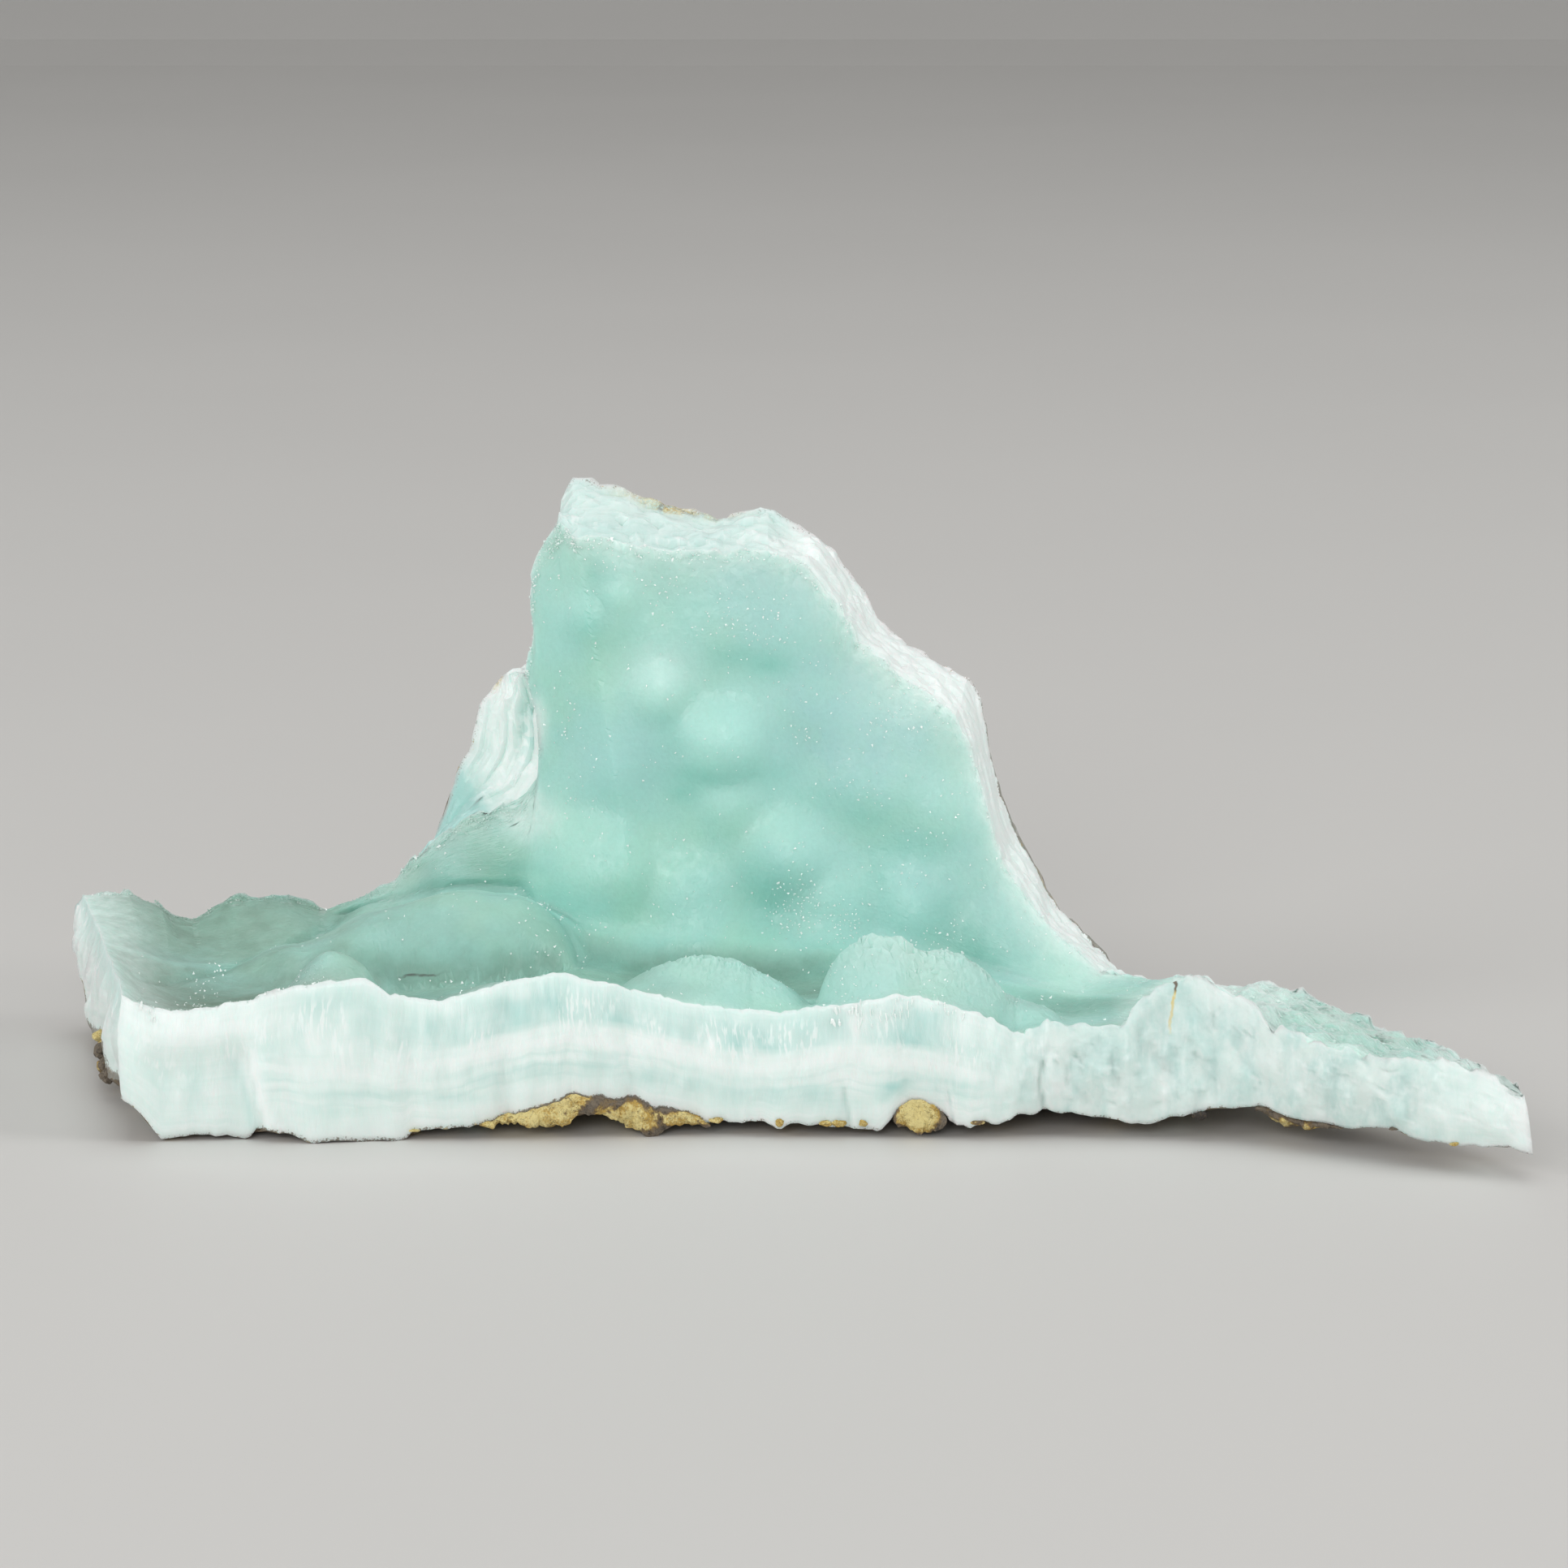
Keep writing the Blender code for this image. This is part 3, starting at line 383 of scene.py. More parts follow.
def within(value, start, full, fading, end):
    """1 from full to fading, 0 up to start and from end on, with eased passages."""
    return ramp(value, start, full) * (1 - ramp(value, fading, end))


def most(*shares):
    """The greatest of several shares at each point."""
    return np.maximum.reduce(shares)


def unit(vectors):
    """Vectors brought to length 1."""
    return vectors / np.linalg.norm(vectors, axis=-1, keepdims=True)


def ripple(point, length, seed):
    """Smooth unevenness of about this wavelength, between -1 and 1."""
    rng = np.random.default_rng(seed)
    total = np.zeros(point.shape[:-1])
    for _ in range(9):
        way = rng.normal(size=3)
        way /= np.linalg.norm(way)
        stretch = rng.uniform(0.7, 1.4)
        total += np.sin(point @ way * (2 * np.pi / (length * stretch)) + rng.uniform(0, 6.28))
    return total / 4.0


def highest(heights, soft=0.22):
    """The greatest of several heights, with the creases between them rounded a little."""
    stack = np.stack(heights)
    top = stack.max(axis=0)
    return top + soft * np.log(np.exp((stack - top) / soft).sum(axis=0) / len(heights))


def folded(near, corner, far, reach, half):
    """A section of two straight legs, near to corner to far, with a rounded bend."""
    x = reach - FOOT_SHARE
    over = np.where(x < -half, 0.0, np.where(x > half, x, (x + half) ** 2 / (4 * half)))
    first = ((reach - over) / FOOT_SHARE)[..., None]
    second = (over / (1 - FOOT_SHARE))[..., None]
    return near + (corner - near) * first + (far - corner) * second


def plain_inner(station, reach):
    """The drusy side without its lobes."""
    near = along(FRONT_TOP, station)
    corner = along(FOOT, station)
    far = along(INNER_RIM, station)
    point = folded(near, corner, far, reach, FLOOR_BEND)
    on_floor = np.clip(reach / FOOT_SHARE, 0, 1)
    point[..., 2] -= along(SAG, station)[..., 0] * np.sin(np.pi * on_floor)
    return point


def plain_outer(station, reach):
    """The rock side without its roughness."""
    near = along(FRONT_BOTTOM, station)
    corner = along(BACK_FOOT, station)
    far = along(OUTER_RIM, station)
    return folded(near, corner, far, reach, BACK_BEND)


def facing(surface, station, reach, turn):
    """Unit normals of a surface, smoothed over a few millimetres; turn is 1 or -1."""
    left, right = [surface(np.clip(station + step, 0, 100), reach) for step in (-1.5, 1.5)]
    low, high = [surface(station, np.clip(reach + step, 0, 1)) for step in (-0.04, 0.04)]
    return unit(np.cross(right - left, high - low) * turn)


def lobe_height(point, reach):
    """How far the lobes stand out of the plain drusy side."""
    on_wall = np.clip((reach - FOOT_SHARE + 0.10) / 0.10, 0, 1)
    on_floor = np.clip((FOOT_SHARE + 0.12 - reach) / 0.10, 0, 1)
    heights = [np.zeros(point.shape[:-1])]
    for lobes, second, power, there in (
        (WALL_LOBES, 2, 1.15, on_wall),
        (FLOOR_LOBES, 1, 0.75, on_floor),
    ):
        for u, v, half, out in lobes:
            span = np.hypot(point[..., 0] - u, point[..., second] - v)
            heights.append(out * swell(span / half, power) * there)
    x, y, half, up = BUMP
    span = np.sqrt((point[..., 0] - x) ** 2 + (point[..., 1] - y) ** 2 + 0.36)
    heights.append(up * 1.08 * np.clip(1 - span / half, 0, None) * on_floor)
    ridge = np.zeros(point.shape[:-1])
    for (x0, y0, h0, u0), (x1, y1, h1, u1) in zip(LONG_LOBE, LONG_LOBE[1:]):
        run = np.array([x1 - x0, y1 - y0])
        share = ((point[..., 0] - x0) * run[0] + (point[..., 1] - y0) * run[1]) / (run @ run)
        share = np.clip(share, 0, 1)
        span = np.hypot(point[..., 0] - x0 - run[0] * share, point[..., 1] - y0 - run[1] * share)
        hump = (u0 + (u1 - u0) * share) * swell(span / (h0 + (h1 - h0) * share), 0.95)
        ridge = np.maximum(ridge, hump)
    heights.append(ridge * on_floor)
    return highest(heights)


def inner(station, reach):
    """The drusy side, with its lobes."""
    point = plain_inner(station, reach)
    edge = np.clip(np.minimum(reach / 0.10, (1.0 - reach) / 0.08), 0, 1)
    out = lobe_height(point, reach) * edge + 0.18 * ripple(point, 6.0, 11)
    return point + facing(plain_inner, station, reach, 1) * out[..., None]


def outer(station, reach):
    """The rock side: rough, level where it rests on the table."""
    point = plain_outer(station, reach)
    out = 0.45 * ripple(point, 9.0, 23) + 0.22 * ripple(point, 4.0, 24)
    edge = np.clip(np.minimum(reach / 0.06, (1.0 - reach) / 0.06), 0, 1)
    point = point + facing(plain_outer, station, reach, -1) * (out * edge)[..., None]
    for x, y, half, drop in FEET:
        span = np.hypot(point[..., 0] - x, point[..., 1] - y)
        point[..., 2] -= drop * swell(span / half) * (reach < FOOT_SHARE + 0.05)
    point[..., 2] = np.maximum(point[..., 2], 0.0)
    return point


def spots(rows, u, v, sharp=1.3, power=1.0):
    """Soft round patches of amount * exp(-sharp * squared distance ** power).

    Where patches meet, the fourth root of the sum of their fourth powers is taken, so
    that the strongest rules without a sharp line between them.
    """
    total = np.zeros(np.shape(u))
    for centre_u, centre_v, half_u, half_v, amount in rows:
        squared = ((u - centre_u) / half_u) ** 2 + ((v - centre_v) / half_v) ** 2
        total += (amount * np.exp(-sharp * squared**power)) ** 4
    return total**0.25


def away_from(line, station, reach):
    """Distance in millimetres, along the drusy side, from a line of (station, reach) points."""
    scale = np.array(FLOOR_SCALE)
    nearest = np.full(np.shape(station), np.inf)
    spot = np.stack([station, reach], axis=-1) * scale
    for first, last in zip(line, line[1:]):
        start = np.array(first) * scale
        run = np.array(last) * scale - start
        share = np.clip(((spot - start) @ run) / (run @ run), 0, 1)
        nearest = np.minimum(nearest, np.linalg.norm(spot - start - share[..., None] * run, axis=-1))
    return nearest


def layers(station, reach, depth):
    """The three coordinates as one array, in millimetres along, across and through."""
    return np.stack([station, reach, depth], axis=-1) * LAYER_SCALE


def scattered(cell, seed):
    """Four random numbers from 0 to 1 for each whole-numbered cell, the same each time."""
    mixed = (cell * np.array([73856093, 19349663, 83492791])).sum(axis=-1) + seed * 7919
    found = []
    for _ in range(4):
        mixed = mixed & 0xFFFFFFFF
        mixed = ((mixed ^ (mixed >> 16)) * 0x45D9F3B) & 0xFFFFFFFF
        mixed = ((mixed ^ (mixed >> 15)) * 0x2C1B3C6D) & 0xFFFFFFFF
        mixed = mixed ^ (mixed >> 13)
        found.append(mixed / 0xFFFFFFFF)
    return np.stack(found, axis=-1)


def grains(point, size, seed):
    """Heights of a heap of tilted grains of about this size, from about -0.5 to 1.

    Space is cut into cubes of this size, and each holds the middle of one grain. A point
    belongs to the grain with the nearest middle. Its height is the grain's random height,
    plus a random slope across the grain, less half its distance from the middle.
    """
    place = point / size
    cell = np.floor(place).astype(np.int64)
    nearest = np.full(point.shape[:-1], np.inf)
    height = np.zeros(point.shape[:-1])
    for step in np.ndindex(3, 3, 3):
        near = cell + np.array(step) - 1
        drawn = scattered(near, seed)
        away = place - near - drawn[..., :3]
        span = np.linalg.norm(away, axis=-1)
        slope = (away * (drawn[..., [3, 0, 1]] - 0.5)).sum(axis=-1)
        height = np.where(span < nearest, drawn[..., 3] + 1.2 * slope - 0.5 * span, height)
        nearest = np.minimum(nearest, span)
    return height


def chip_folds(station, depth):
    """The chip on the left shoulder: its extent, its folds and its pocket, each 0 to 1.

    A fold rises slowly across the layer and ends in a sharp drop, as the whole part of
    a number that grows with the depth, wandering a little along the rim.
    """
    extent = ramp(station, 21.8 + 1.2 * depth, 23.6 + 1.2 * depth) * (1 - ramp(station, 28.5, 29.4))
    wander = ripple(np.stack([station * 0.55, depth * 2.0, 0 * depth], axis=-1), 3.2, 43)
    row = depth * 3.2 + 0.16 * (station - 24.0) + 0.42 * wander + 0.15
    shelf = 1 - (row - np.floor(row)) ** 1.6
    aside = (station - 26.0) / 1.9
    through = (depth - 0.27 + 0.03 * (station - 26)) / 0.13
    pocket = np.exp(-(aside**4) - through**4)
    return extent, shelf, pocket


def crust(station, reach, depth):
    """A point of the block carried to its place in the crust.

    The point lies between the drusy side and the rock side by its depth. The broken
    faces are then moved by sums of sine waves that vary quickly across the fibres and
    slowly along them, and by heaps of tilted grains. Each such move fades out within a
    short way of its face.
    """
    point = inner(station, reach)
    point = point + (outer(station, reach) - point) * depth[..., None]
    x, y, z = np.moveaxis(point, -1, 0)
    middle = np.sin(np.pi * depth)
    run = layers(station, 0 * reach, depth)
    along_run = run * (1, 0, 0)

    # The broken front edge shows the fibres as upright columns, and swells forward.
    front = np.clip(1 - reach / 0.05, 0, 1)
    coarse = np.stack([station, 0 * reach, depth], axis=-1)
    columns = 0.15 * ripple(coarse * (1.02, 0, 1.1), 3.6, 31)
    columns += 0.32 * ripple(coarse * (1.02, 0, 2.7), 11.0, 32)
    fibres = 0.04 * ripple(run * (1, 0, 0.45), 1.6, 33) + 0.05 * ripple(run * (1, 0, 0.8), 0.9, 34)
    fibres = fibres * (1 - 0.6 * ramp(station, 74, 80))
    grainy = ramp(station, 64, 78)
    flat = point * (1, 0, 0.6)
    lumps = 0.22 * ripple(flat, 2.4, 35) + 0.12 * ripple(flat, 1.2, 54) - 0.26 * grains(flat, 0.9, 38)
    lumps = grainy * lumps - 0.05 * (1 - grainy) * grains(flat * (1, 1, 0.7), 0.9, 39)
    y += front * (columns - 0.5 * middle)
    y += front * (fibres + lumps) * (0.35 + 0.65 * middle)

    # Left of an oblique step the front is set back a little.
    step_line = 7.4 + 1.6 * depth
    behind = 0.75 * (1 - ramp(station, step_line - 0.2, step_line + 0.1)) * ramp(depth, 0.15, 0.5)
    y += front * behind * ramp(station, 0.5, 3.0)

    # Its top edge is finely ragged.
    top_edge = np.clip(1 - reach / 0.03, 0, 1) * (1 - ramp(depth, 0.0, 0.14))
    ragged = 0.10 * ripple(run, 1.4, 46) + (0.16 + 0.30 * grainy) * (grains(run, 0.8, 47) - 0.3)
    ragged += 0.55 * ramp(station, 76, 82) * (grains(run, 1.5, 55) - 0.3)
    z += top_edge * ragged

    # Upright cracks in the lower half of the front.
    for place, half, top, deep in CRACKS:
        groove = bell(station - place - 0.25 * np.sin(depth * 7), half)
        y += front * deep * groove * ramp(depth, top, top + 0.12)

    # The lower edge of the front is scalloped where columns end at different lengths.
    near_front = np.clip(1 - reach / 0.07, 0, 1)
    scallops = 0.20 * ripple(along_run, 1.9, 36) + 0.10 * ripple(along_run, 0.9, 37)
    scallops *= 1 - 0.6 * bell(station - 17.2, 4.0, 4)
    z += near_front * ramp(depth, 0.55, 1.0) * scallops

    # Left of the host rock it stands a little off the table.
    raised = 0.26 + 0.08 * ripple(along_run, 6.0, 40) + 0.16 * bell(station - 8.6, 1.8, 4)
    raised -= 0.30 * bell(station - 17.2, 3.0, 4)
    z += near_front * ramp(depth, 0.88, 0.98) * raised * (1 - ramp(station, 26, 30))

    # The broken rim is granular and ragged.
    rim_side = np.clip(1 - (1 - reach) / 0.035, 0, 1)
    rim = rim_side * middle
    edges = layers(station, 0 * reach, depth * 0.7)
    z += 0.22 * rim * ripple(coarse * (1.02, 0, 2.2), 3.4, 41)
    z += rim_side * 0.12 * ripple(edges, 1.9, 42)
    z += rim_side * 0.40 * (grains(edges, 0.75, 44) - 0.3)
    y += rim_side * 0.16 * ripple(edges, 1.4, 45)

    # The wall's left edge runs unevenly.
    upright = np.clip(1 - (1 - reach) / 0.07, 0, 1)
    upright = upright * ramp(station, 22, 24) * (1 - ramp(station, 34, 36))
    x += upright * (0.34 * ripple(along_run, 2.9, 48) + 0.16 * ripple(along_run, 1.1, 49))

    # On the left shoulder a chip shows folds that follow the rim, and one deep pocket.
    chip, shelf, pocket = chip_folds(station, depth)
    knobs = 0.20 * (grains(edges * (1, 1, 2), 0.9, 56) - 0.25)
    push = rim_side * chip * ((0.42 * (shelf - 0.35) + knobs) * middle**0.4 - 1.2 * pocket)
    point += push[..., None] * np.array([-0.30, -0.90, 0.25])

    # The broken left end is uneven, too.
    left = np.clip(1 - station / 1.2, 0, 1)
    across = np.stack([reach * 34, depth * 6, 0 * depth], axis=-1)
    x -= left * middle * (0.1 + 0.50 * ripple(across, 5.0, 51))
    fine = np.stack([reach * 46, depth * 1.6, 0 * depth], axis=-1)
    x -= left * middle * (0.26 * ripple(fine, 1.6, 52) + 0.35 * grains(fine, 1.1, 53))

    # The rock side is rough all over.
    back = depth**3 * np.clip(np.minimum(reach, 1 - reach) / 0.03, 0, 1)
    rough = 0.10 * ripple(point, 1.6, 61) + 0.30 * (grains(point, 2.8, 62) - 0.25)
    rough = rough * ramp(z, 0.0, 0.4)
    point += (back * rough)[..., None] * facing(plain_outer, station, reach, -1)

    np.maximum(z, 0.0, out=z)
    return point


def below_lobe(station, reach):
    """Millimetres from the foot line of the long lobe towards the front edge."""
    return (np.interp(station, *np.array(LOBE_FOOT).T) - reach) * FLOOR_SCALE[1]


def druse_height(station, reach, point, lift):
    """How far each point of the drusy side stands out, in millimetres.

    The druse is a heap of tilted grains: fine and low on wall and floor, coarser on
    crests and at the rims, with rounded knobs in the tail. lift is a small random part
    of it. Grooves follow the creases, and in front of the long lobe the floor lies a
    step lower.
    """
    on_floor = 1 - ramp(reach, 0.34, 0.46)
    crest = spots(CRESTS, point[..., 0], point[..., 1], 1.0) * on_floor
    tail = ramp(station, 75, 81)
    rim = np.exp(-(1 - reach) / 0.02) * ramp(station, 28, 32)
    left_rim = (1 - ramp(station, 17, 21)) * ramp(reach, 0.86, 0.99)
    lip = np.exp(-reach / 0.035) * (1 - ramp(station, 12, 16))
    shoulder = ramp(reach, 0.86, 0.97) * ramp(station, 17, 20) * (1 - ramp(station, 24, 28))
    fine = 0.006 + 0.02 * crest + 0.02 * tail + 0.02 * rim + 0.04 * lip
    coarse = 0.008 + 0.28 * crest**2 + 0.14 * rim + 0.10 * left_rim + 0.16 * lip + 0.14 * shoulder
    heap = coarse * (grains(point, 0.62, 71) - 0.25)
    knobs = 0.20 * (grains(point, 1.4, 72) - 0.25) + 0.24 * ripple(point, 1.7, 73)
    knobs += 0.08 * ripple(point, 0.8, 74)
    heap += tail * knobs * ramp(reach, -0.08, 0.12)
    grooves = 0.30 * sum(bell(away_from(line, station, reach), 0.70) for line in CREASES)
    below = below_lobe(station, reach)
    under = within(station, 16.5, 18.5, 27, 31)
    sunk = 0.50 * ramp(below, -0.4, 0.5) * np.exp(-np.clip(below, 0, None) / 3.5) * under
    return fine * lift + heap - grooves - sunk


def quads(grid):
    """Four-cornered faces of a sheet of point numbers, turning from its first direction
    to its second."""
    faces = np.stack([grid[:-1, :-1], grid[1:, :-1], grid[1:, 1:], grid[:-1, 1:]], axis=-1)
    return faces.reshape(-1, 4)


def sides_of(number):
    """The sheets of a block of point numbers, turned to face outwards: the drusy side, the
    rock side, the front, the rim, the left end and the right end."""
    return (
        number[:, :, 0],
        number[:, :, -1].T,
        number[:, 0, :].T,
        number[:, -1, :],
        number[0],
        number[-1].T,
    )


def renumbered(parts):
    """The points that face arrays use, and the arrays with just these points numbered."""
    used = np.unique(np.concatenate([part.ravel() for part in parts]))
    return used, [np.searchsorted(used, part) for part in parts]


def block_skin(stations, reaches, depths, rng):
    """The skin of a block sliced at these stations, reaches and depths, as one closed surface.

    All six sides take their points from one lattice, so that they share the points of
    their common edges. Each cell of the drusy side (depth 0) gets a peak, and four
    triangles that run up to it. The rock side (depth 1) is twice as coarse, and its
    outermost cells keep the finer points of the border they touch.
    Returns station, reach, depth and lift of each point, and eight face arrays: one of
    the drusy side, four of the broken faces (front, rim, left and right), and three of
    the rock side.
    """
    shape = (len(stations), len(reaches), len(depths))
    number = np.arange(np.prod(shape)).reshape(shape)
    druse, under, *broken = sides_of(number)
    top = quads(druse)

    halved = under[::2, ::2]
    coarse = quads(halved).reshape(halved.shape[0] - 1, halved.shape[1] - 1, 4)
    border = [
        np.insert(coarse[0, 1:-1], 4, under[0, 3:-3:2], axis=1),
        np.insert(coarse[-1, 1:-1], 2, under[-1, 3:-3:2], axis=1),
        np.insert(coarse[1:-1, 0], 1, under[3:-3:2, 0], axis=1),
        np.insert(coarse[1:-1, -1], 3, under[3:-3:2, -1], axis=1),
    ]
    a, b, c, d = coarse[0, 0], coarse[0, -1], coarse[-1, -1], coarse[-1, 0]
    corners = [
        [a[0], under[1, 0], a[1], a[2], a[3], under[0, 1]],
        [b[0], b[1], b[2], under[1, -1], b[3], under[0, -2]],
        [c[0], c[1], under[-1, -2], c[2], under[-2, -1], c[3]],
        [d[0], under[-2, 0], d[1], under[-1, 1], d[2], d[3]],
    ]
    rock = [coarse[1:-1, 1:-1].reshape(-1, 4), np.concatenate(border), np.array(corners)]

    count = number.size
    peaks = np.repeat((count + np.arange(len(top)))[:, None], 4, axis=1)
    pyramid = np.stack([top, np.roll(top, -1, axis=1), peaks], axis=-1).reshape(-1, 3)

    i, j, k = np.indices(shape).reshape(3, -1)
    inside = (k == 0) & (i > 0) & (i < shape[0] - 1) & (j > 0) & (j < shape[1] - 1)
    station = stations[i] + inside * rng.uniform(-0.36, 0.36, count) * np.gradient(stations)[i]
    reach = reaches[j] + inside * rng.uniform(-0.36, 0.36, count) * np.gradient(reaches)[j]
    lift = inside * rng.uniform(-1.0, 1.0, count)

    share = rng.dirichlet((4, 4, 4, 4), len(top))
    station = np.append(station, (station[top] * share).sum(axis=1))
    reach = np.append(reach, (reach[top] * share).sum(axis=1))
    depth = np.append(depths[k], np.zeros(len(top)))
    lift = np.append(lift, rng.uniform(-1.0, 1.0, len(top)))
    used, faces = renumbered([pyramid, *map(quads, broken), *rock])
    return station[used], reach[used], depth[used], lift[used], faces


def to_frame(point):
    """Millimetres in the outlines' frame to metres in the row frame."""
    return (point - np.array([*MIDDLE, 0.0])) * MM


def mesh_piece(name, points, faces, materials, attributes=None, looks=None, smooth=()):
    """A mesh object at the origin from points in metres, face arrays and point attributes.

    looks numbers the material of each face array, if there are several materials. The
    arrays numbered in smooth are shaded as a rounded surface, the others flat.
    """
    mesh = bpy.data.meshes.new(name)
    polygons = [part.tolist() for part in faces]
    mesh.from_pydata(points.tolist(), [], [face for part in polygons for face in part])
    looks = looks or [0] * len(faces)
    kinds = np.concatenate([np.full(len(part), kind) for part, kind in zip(faces, looks)])
    mesh.polygons.foreach_set("material_index", kinds.astype(np.int32))
    for label, values in (attributes or {}).items():
        kind, field = ("FLOAT_VECTOR", "vector") if values.ndim == 2 else ("FLOAT", "value")
        made = mesh.attributes.new(label, kind, "POINT")
        made.data.foreach_set(field, values.astype(np.float32).ravel())
    mesh.shade_flat()
    rounded = [np.full(len(part), which in smooth) for which, part in enumerate(faces)]
    mesh.polygons.foreach_set("use_smooth", np.concatenate(rounded))
    mesh.update()
    if mesh.validate():
        raise RuntimeError(name + " has faces that had to be mended")
    for made in materials:
        mesh.materials.append(made)
    piece = bpy.data.objects.new(name, mesh)
    bpy.context.scene.collection.objects.link(piece)
    return piece


def joined(lumps):
    """Lumps, each of points, face arrays and marks of the points, made into one."""
    starts = np.cumsum([0] + [len(points) for points, _, _ in lumps])
    parts = [part + start for (_, faces, _), start in zip(lumps, starts) for part in faces]
    marked = {key: np.concatenate([given[key] for _, _, given in lumps]) for key in lumps[0][2]}
    points = np.concatenate([points for points, _, _ in lumps])
    points[:, 2] = np.maximum(points[:, 2], 0.0)
    return to_frame(points), parts, marked


def marks(point, station, reach, depth):
    """What the colours of the aragonite go by, as numbers from 0 to 1 at each point.

    pale, deep and blue are soft clouds of the druse; deep is partly painted shade along the
    creases and in the floor's hollows. white is its closeness to a broken edge, grey its dull
    greenish part, most of all on the left floor, and partly painted shade of the floor. aqua,
    milk, rust, the dark film and the grainy part belong to the broken faces; along the front's
    lower edge the film is partly a painted shadow line. The distance from the foot of the long
    lobe, along which a dark line is painted as the shadow under the lobe, and from_band, the
    distance from the milky band of the front, are in millimetres; two more marks say where these
    lines run. fibre is different: it holds millimetres along, across and through the layer.
    """
    x, y, z = np.moveaxis(point, -1, 0)
    wall = ramp(reach, 0.41, 0.47) * ramp(station, 15, 19) * (1 - ramp(station, 72, 77))
    floor = 1 - ramp(reach, 0.40, 0.47)
    # Marks that end at a wandering station don't run straight across.
    wander = station + 3.0 * ripple(point, 9.0, 58) + 1.2 * ripple(point, 3.5, 59)
    left = 1 - ramp(wander, 12.5, 22.5)
    tail = ramp(station, 76, 80)
    rise = np.linalg.norm(along(INNER_RIM, station) - along(FOOT, station), axis=-1)
    to_rim = (1 - reach) / (1 - FOOT_SHARE) * rise
    knobs = np.clip(grains(point, 1.4, 72), 0, 1)

    hollows = spots(FLOOR_HOLLOWS, x, y, 1.0) * floor
    crests = spots(CRESTS, x, y, 0.8) * floor
    pale = most(spots(PALE_CLOUDS, x, z, 1.0, 1.4) * wall, 0.55 * crests) * (1 - 0.85 * hollows)
    # Along the creases the druse is coloured deeper: painted shade in the creases.
    folds = sum(bell(away_from(line, station, reach), 0.9) for line in CREASES)
    wide = 0.45 + 0.25 * ramp(station, 47, 52)
    left_rim = (1 - ramp(station, 36.0, 38.0)) * wall
    rim_frost = (wide * np.exp(-to_rim / 2.8) + 0.55 * np.exp(-to_rim / 1.0)) * wall
    left_edge = [(-20.2, 17.4, 2.4, 1.9, 0.9), (-19.3, 24.1, 0.9, 2.0, 0.8)]
    mounds = [(7.6, -11.0, 6.0, 4.0, 0.36), (-6.2, -9.8, 7.0, 4.0, 0.10)]
    near_front = np.exp(-reach / 0.05)
    white = most(
        rim_frost * (1 - 0.45 * left_rim),
        spots([(-10.1, 28.3, 2.9, 2.5, 0.35)], x, z, 1.0) * wall,
        spots(left_edge, x, z, 1.0, 1.5) * wall,
        np.exp(-reach / 0.016) * 0.75 * (1 - tail),
        near_front * 0.35 * (1 - ramp(station, 12, 16)),
        near_front * 0.7 * ramp(station, 69, 74),
        spots(mounds, x, y, 1.0) * floor,
        tail * (0.30 + 0.22 * knobs + 0.5 * np.exp(-reach / 0.06)),
        0.9 * within(station, 75.5, 78.5, 84, 88),
        0.95 * ramp(station, 91, 97),
        bell(station, 3.2) * 0.85,
    )
    behind = ramp(reach + 0.06 * ripple(point, 6.0, 60), 0.18, 0.36) * ramp(wander, 28, 38)
    # grey is partly the floor's own dull greenish tone and partly painted shade: on the up-facing left
    # floor, in the hollows and on the strip behind the mounds.
    grey = most(
        floor * left,
        0.70 * left * ramp(reach, 0.3, 0.5),
        0.56 * floor * (1 - ramp(wander, 34, 45)),
        0.70 * behind * floor * (1 - ramp(wander, 52, 68)),
        0.50 * hollows,
        0.20 * crests,
        spots([(13.0, 9.0, 5.0, 4.0, 0.16)], x, z, 1.0) * wall,
        0.44 * (1 - floor) * (1 - ramp(station, 22, 27)),
        (0.30 - 0.08 * knobs) * tail,
    )
    long_lobe = [(lx, ly, 1.1 * half, 1.1 * half, 1.0) for lx, ly, half, _ in LONG_LOBE]
    # Along the foot of the long lobe the floor is greyed: painted shade under the lobe.
    under_lobe = bell(away_from(LOBE_FOOT[:-1], station, reach), 1.1) * floor
    grey = most(grey * (1 - 0.5 * spots(long_lobe, x, y, 1.0)), 0.60 * under_lobe)
    grey = grey * (1 - 0.75 * spots([(-32.3, -14.2, 4.2, 3.6, 1.0)], x, y, 1.2))

    on_front = np.clip(1 - reach / 0.02, 0, 1)
    on_rim = np.clip(1 - (1 - reach) / 0.02, 0, 1)
    ridge = np.interp(x, *np.array(MILK_LINE).T)
    band = within(x, -38.5, -36, 11, 14) * on_front
    # Above the band, and not quite at the top edge, the front is mostly aqua.
    upper = ramp(z - ridge, 0.6, 1.4) * ramp(depth, -0.04, 0.14)
    upper = upper * ramp(x, -27, -23) * (1 - ramp(x, 9, 12)) * on_front
    # Beside the oblique step: milky on its right, aqua on its left. The aqua strip is painted shade
    # of the step, the milky strip partly its own colour and partly painted light on the step's edge.
    beside = x + 38.66 - 0.29 * (6.4 - z)
    low = on_front * ramp(z, 7.0, 5.5)
    # On the chip of the left shoulder the low places are aqua, the rest is milky. The aqua of
    # the pocket and the low places is partly the fibres' own colour and partly painted shade.
    chip, shelf, pocket = chip_folds(station, depth)
    chip = chip * on_rim
    low_back = (1 - ramp(station, 23.5, 25.5)) * ramp(depth, 0.45, 0.7)
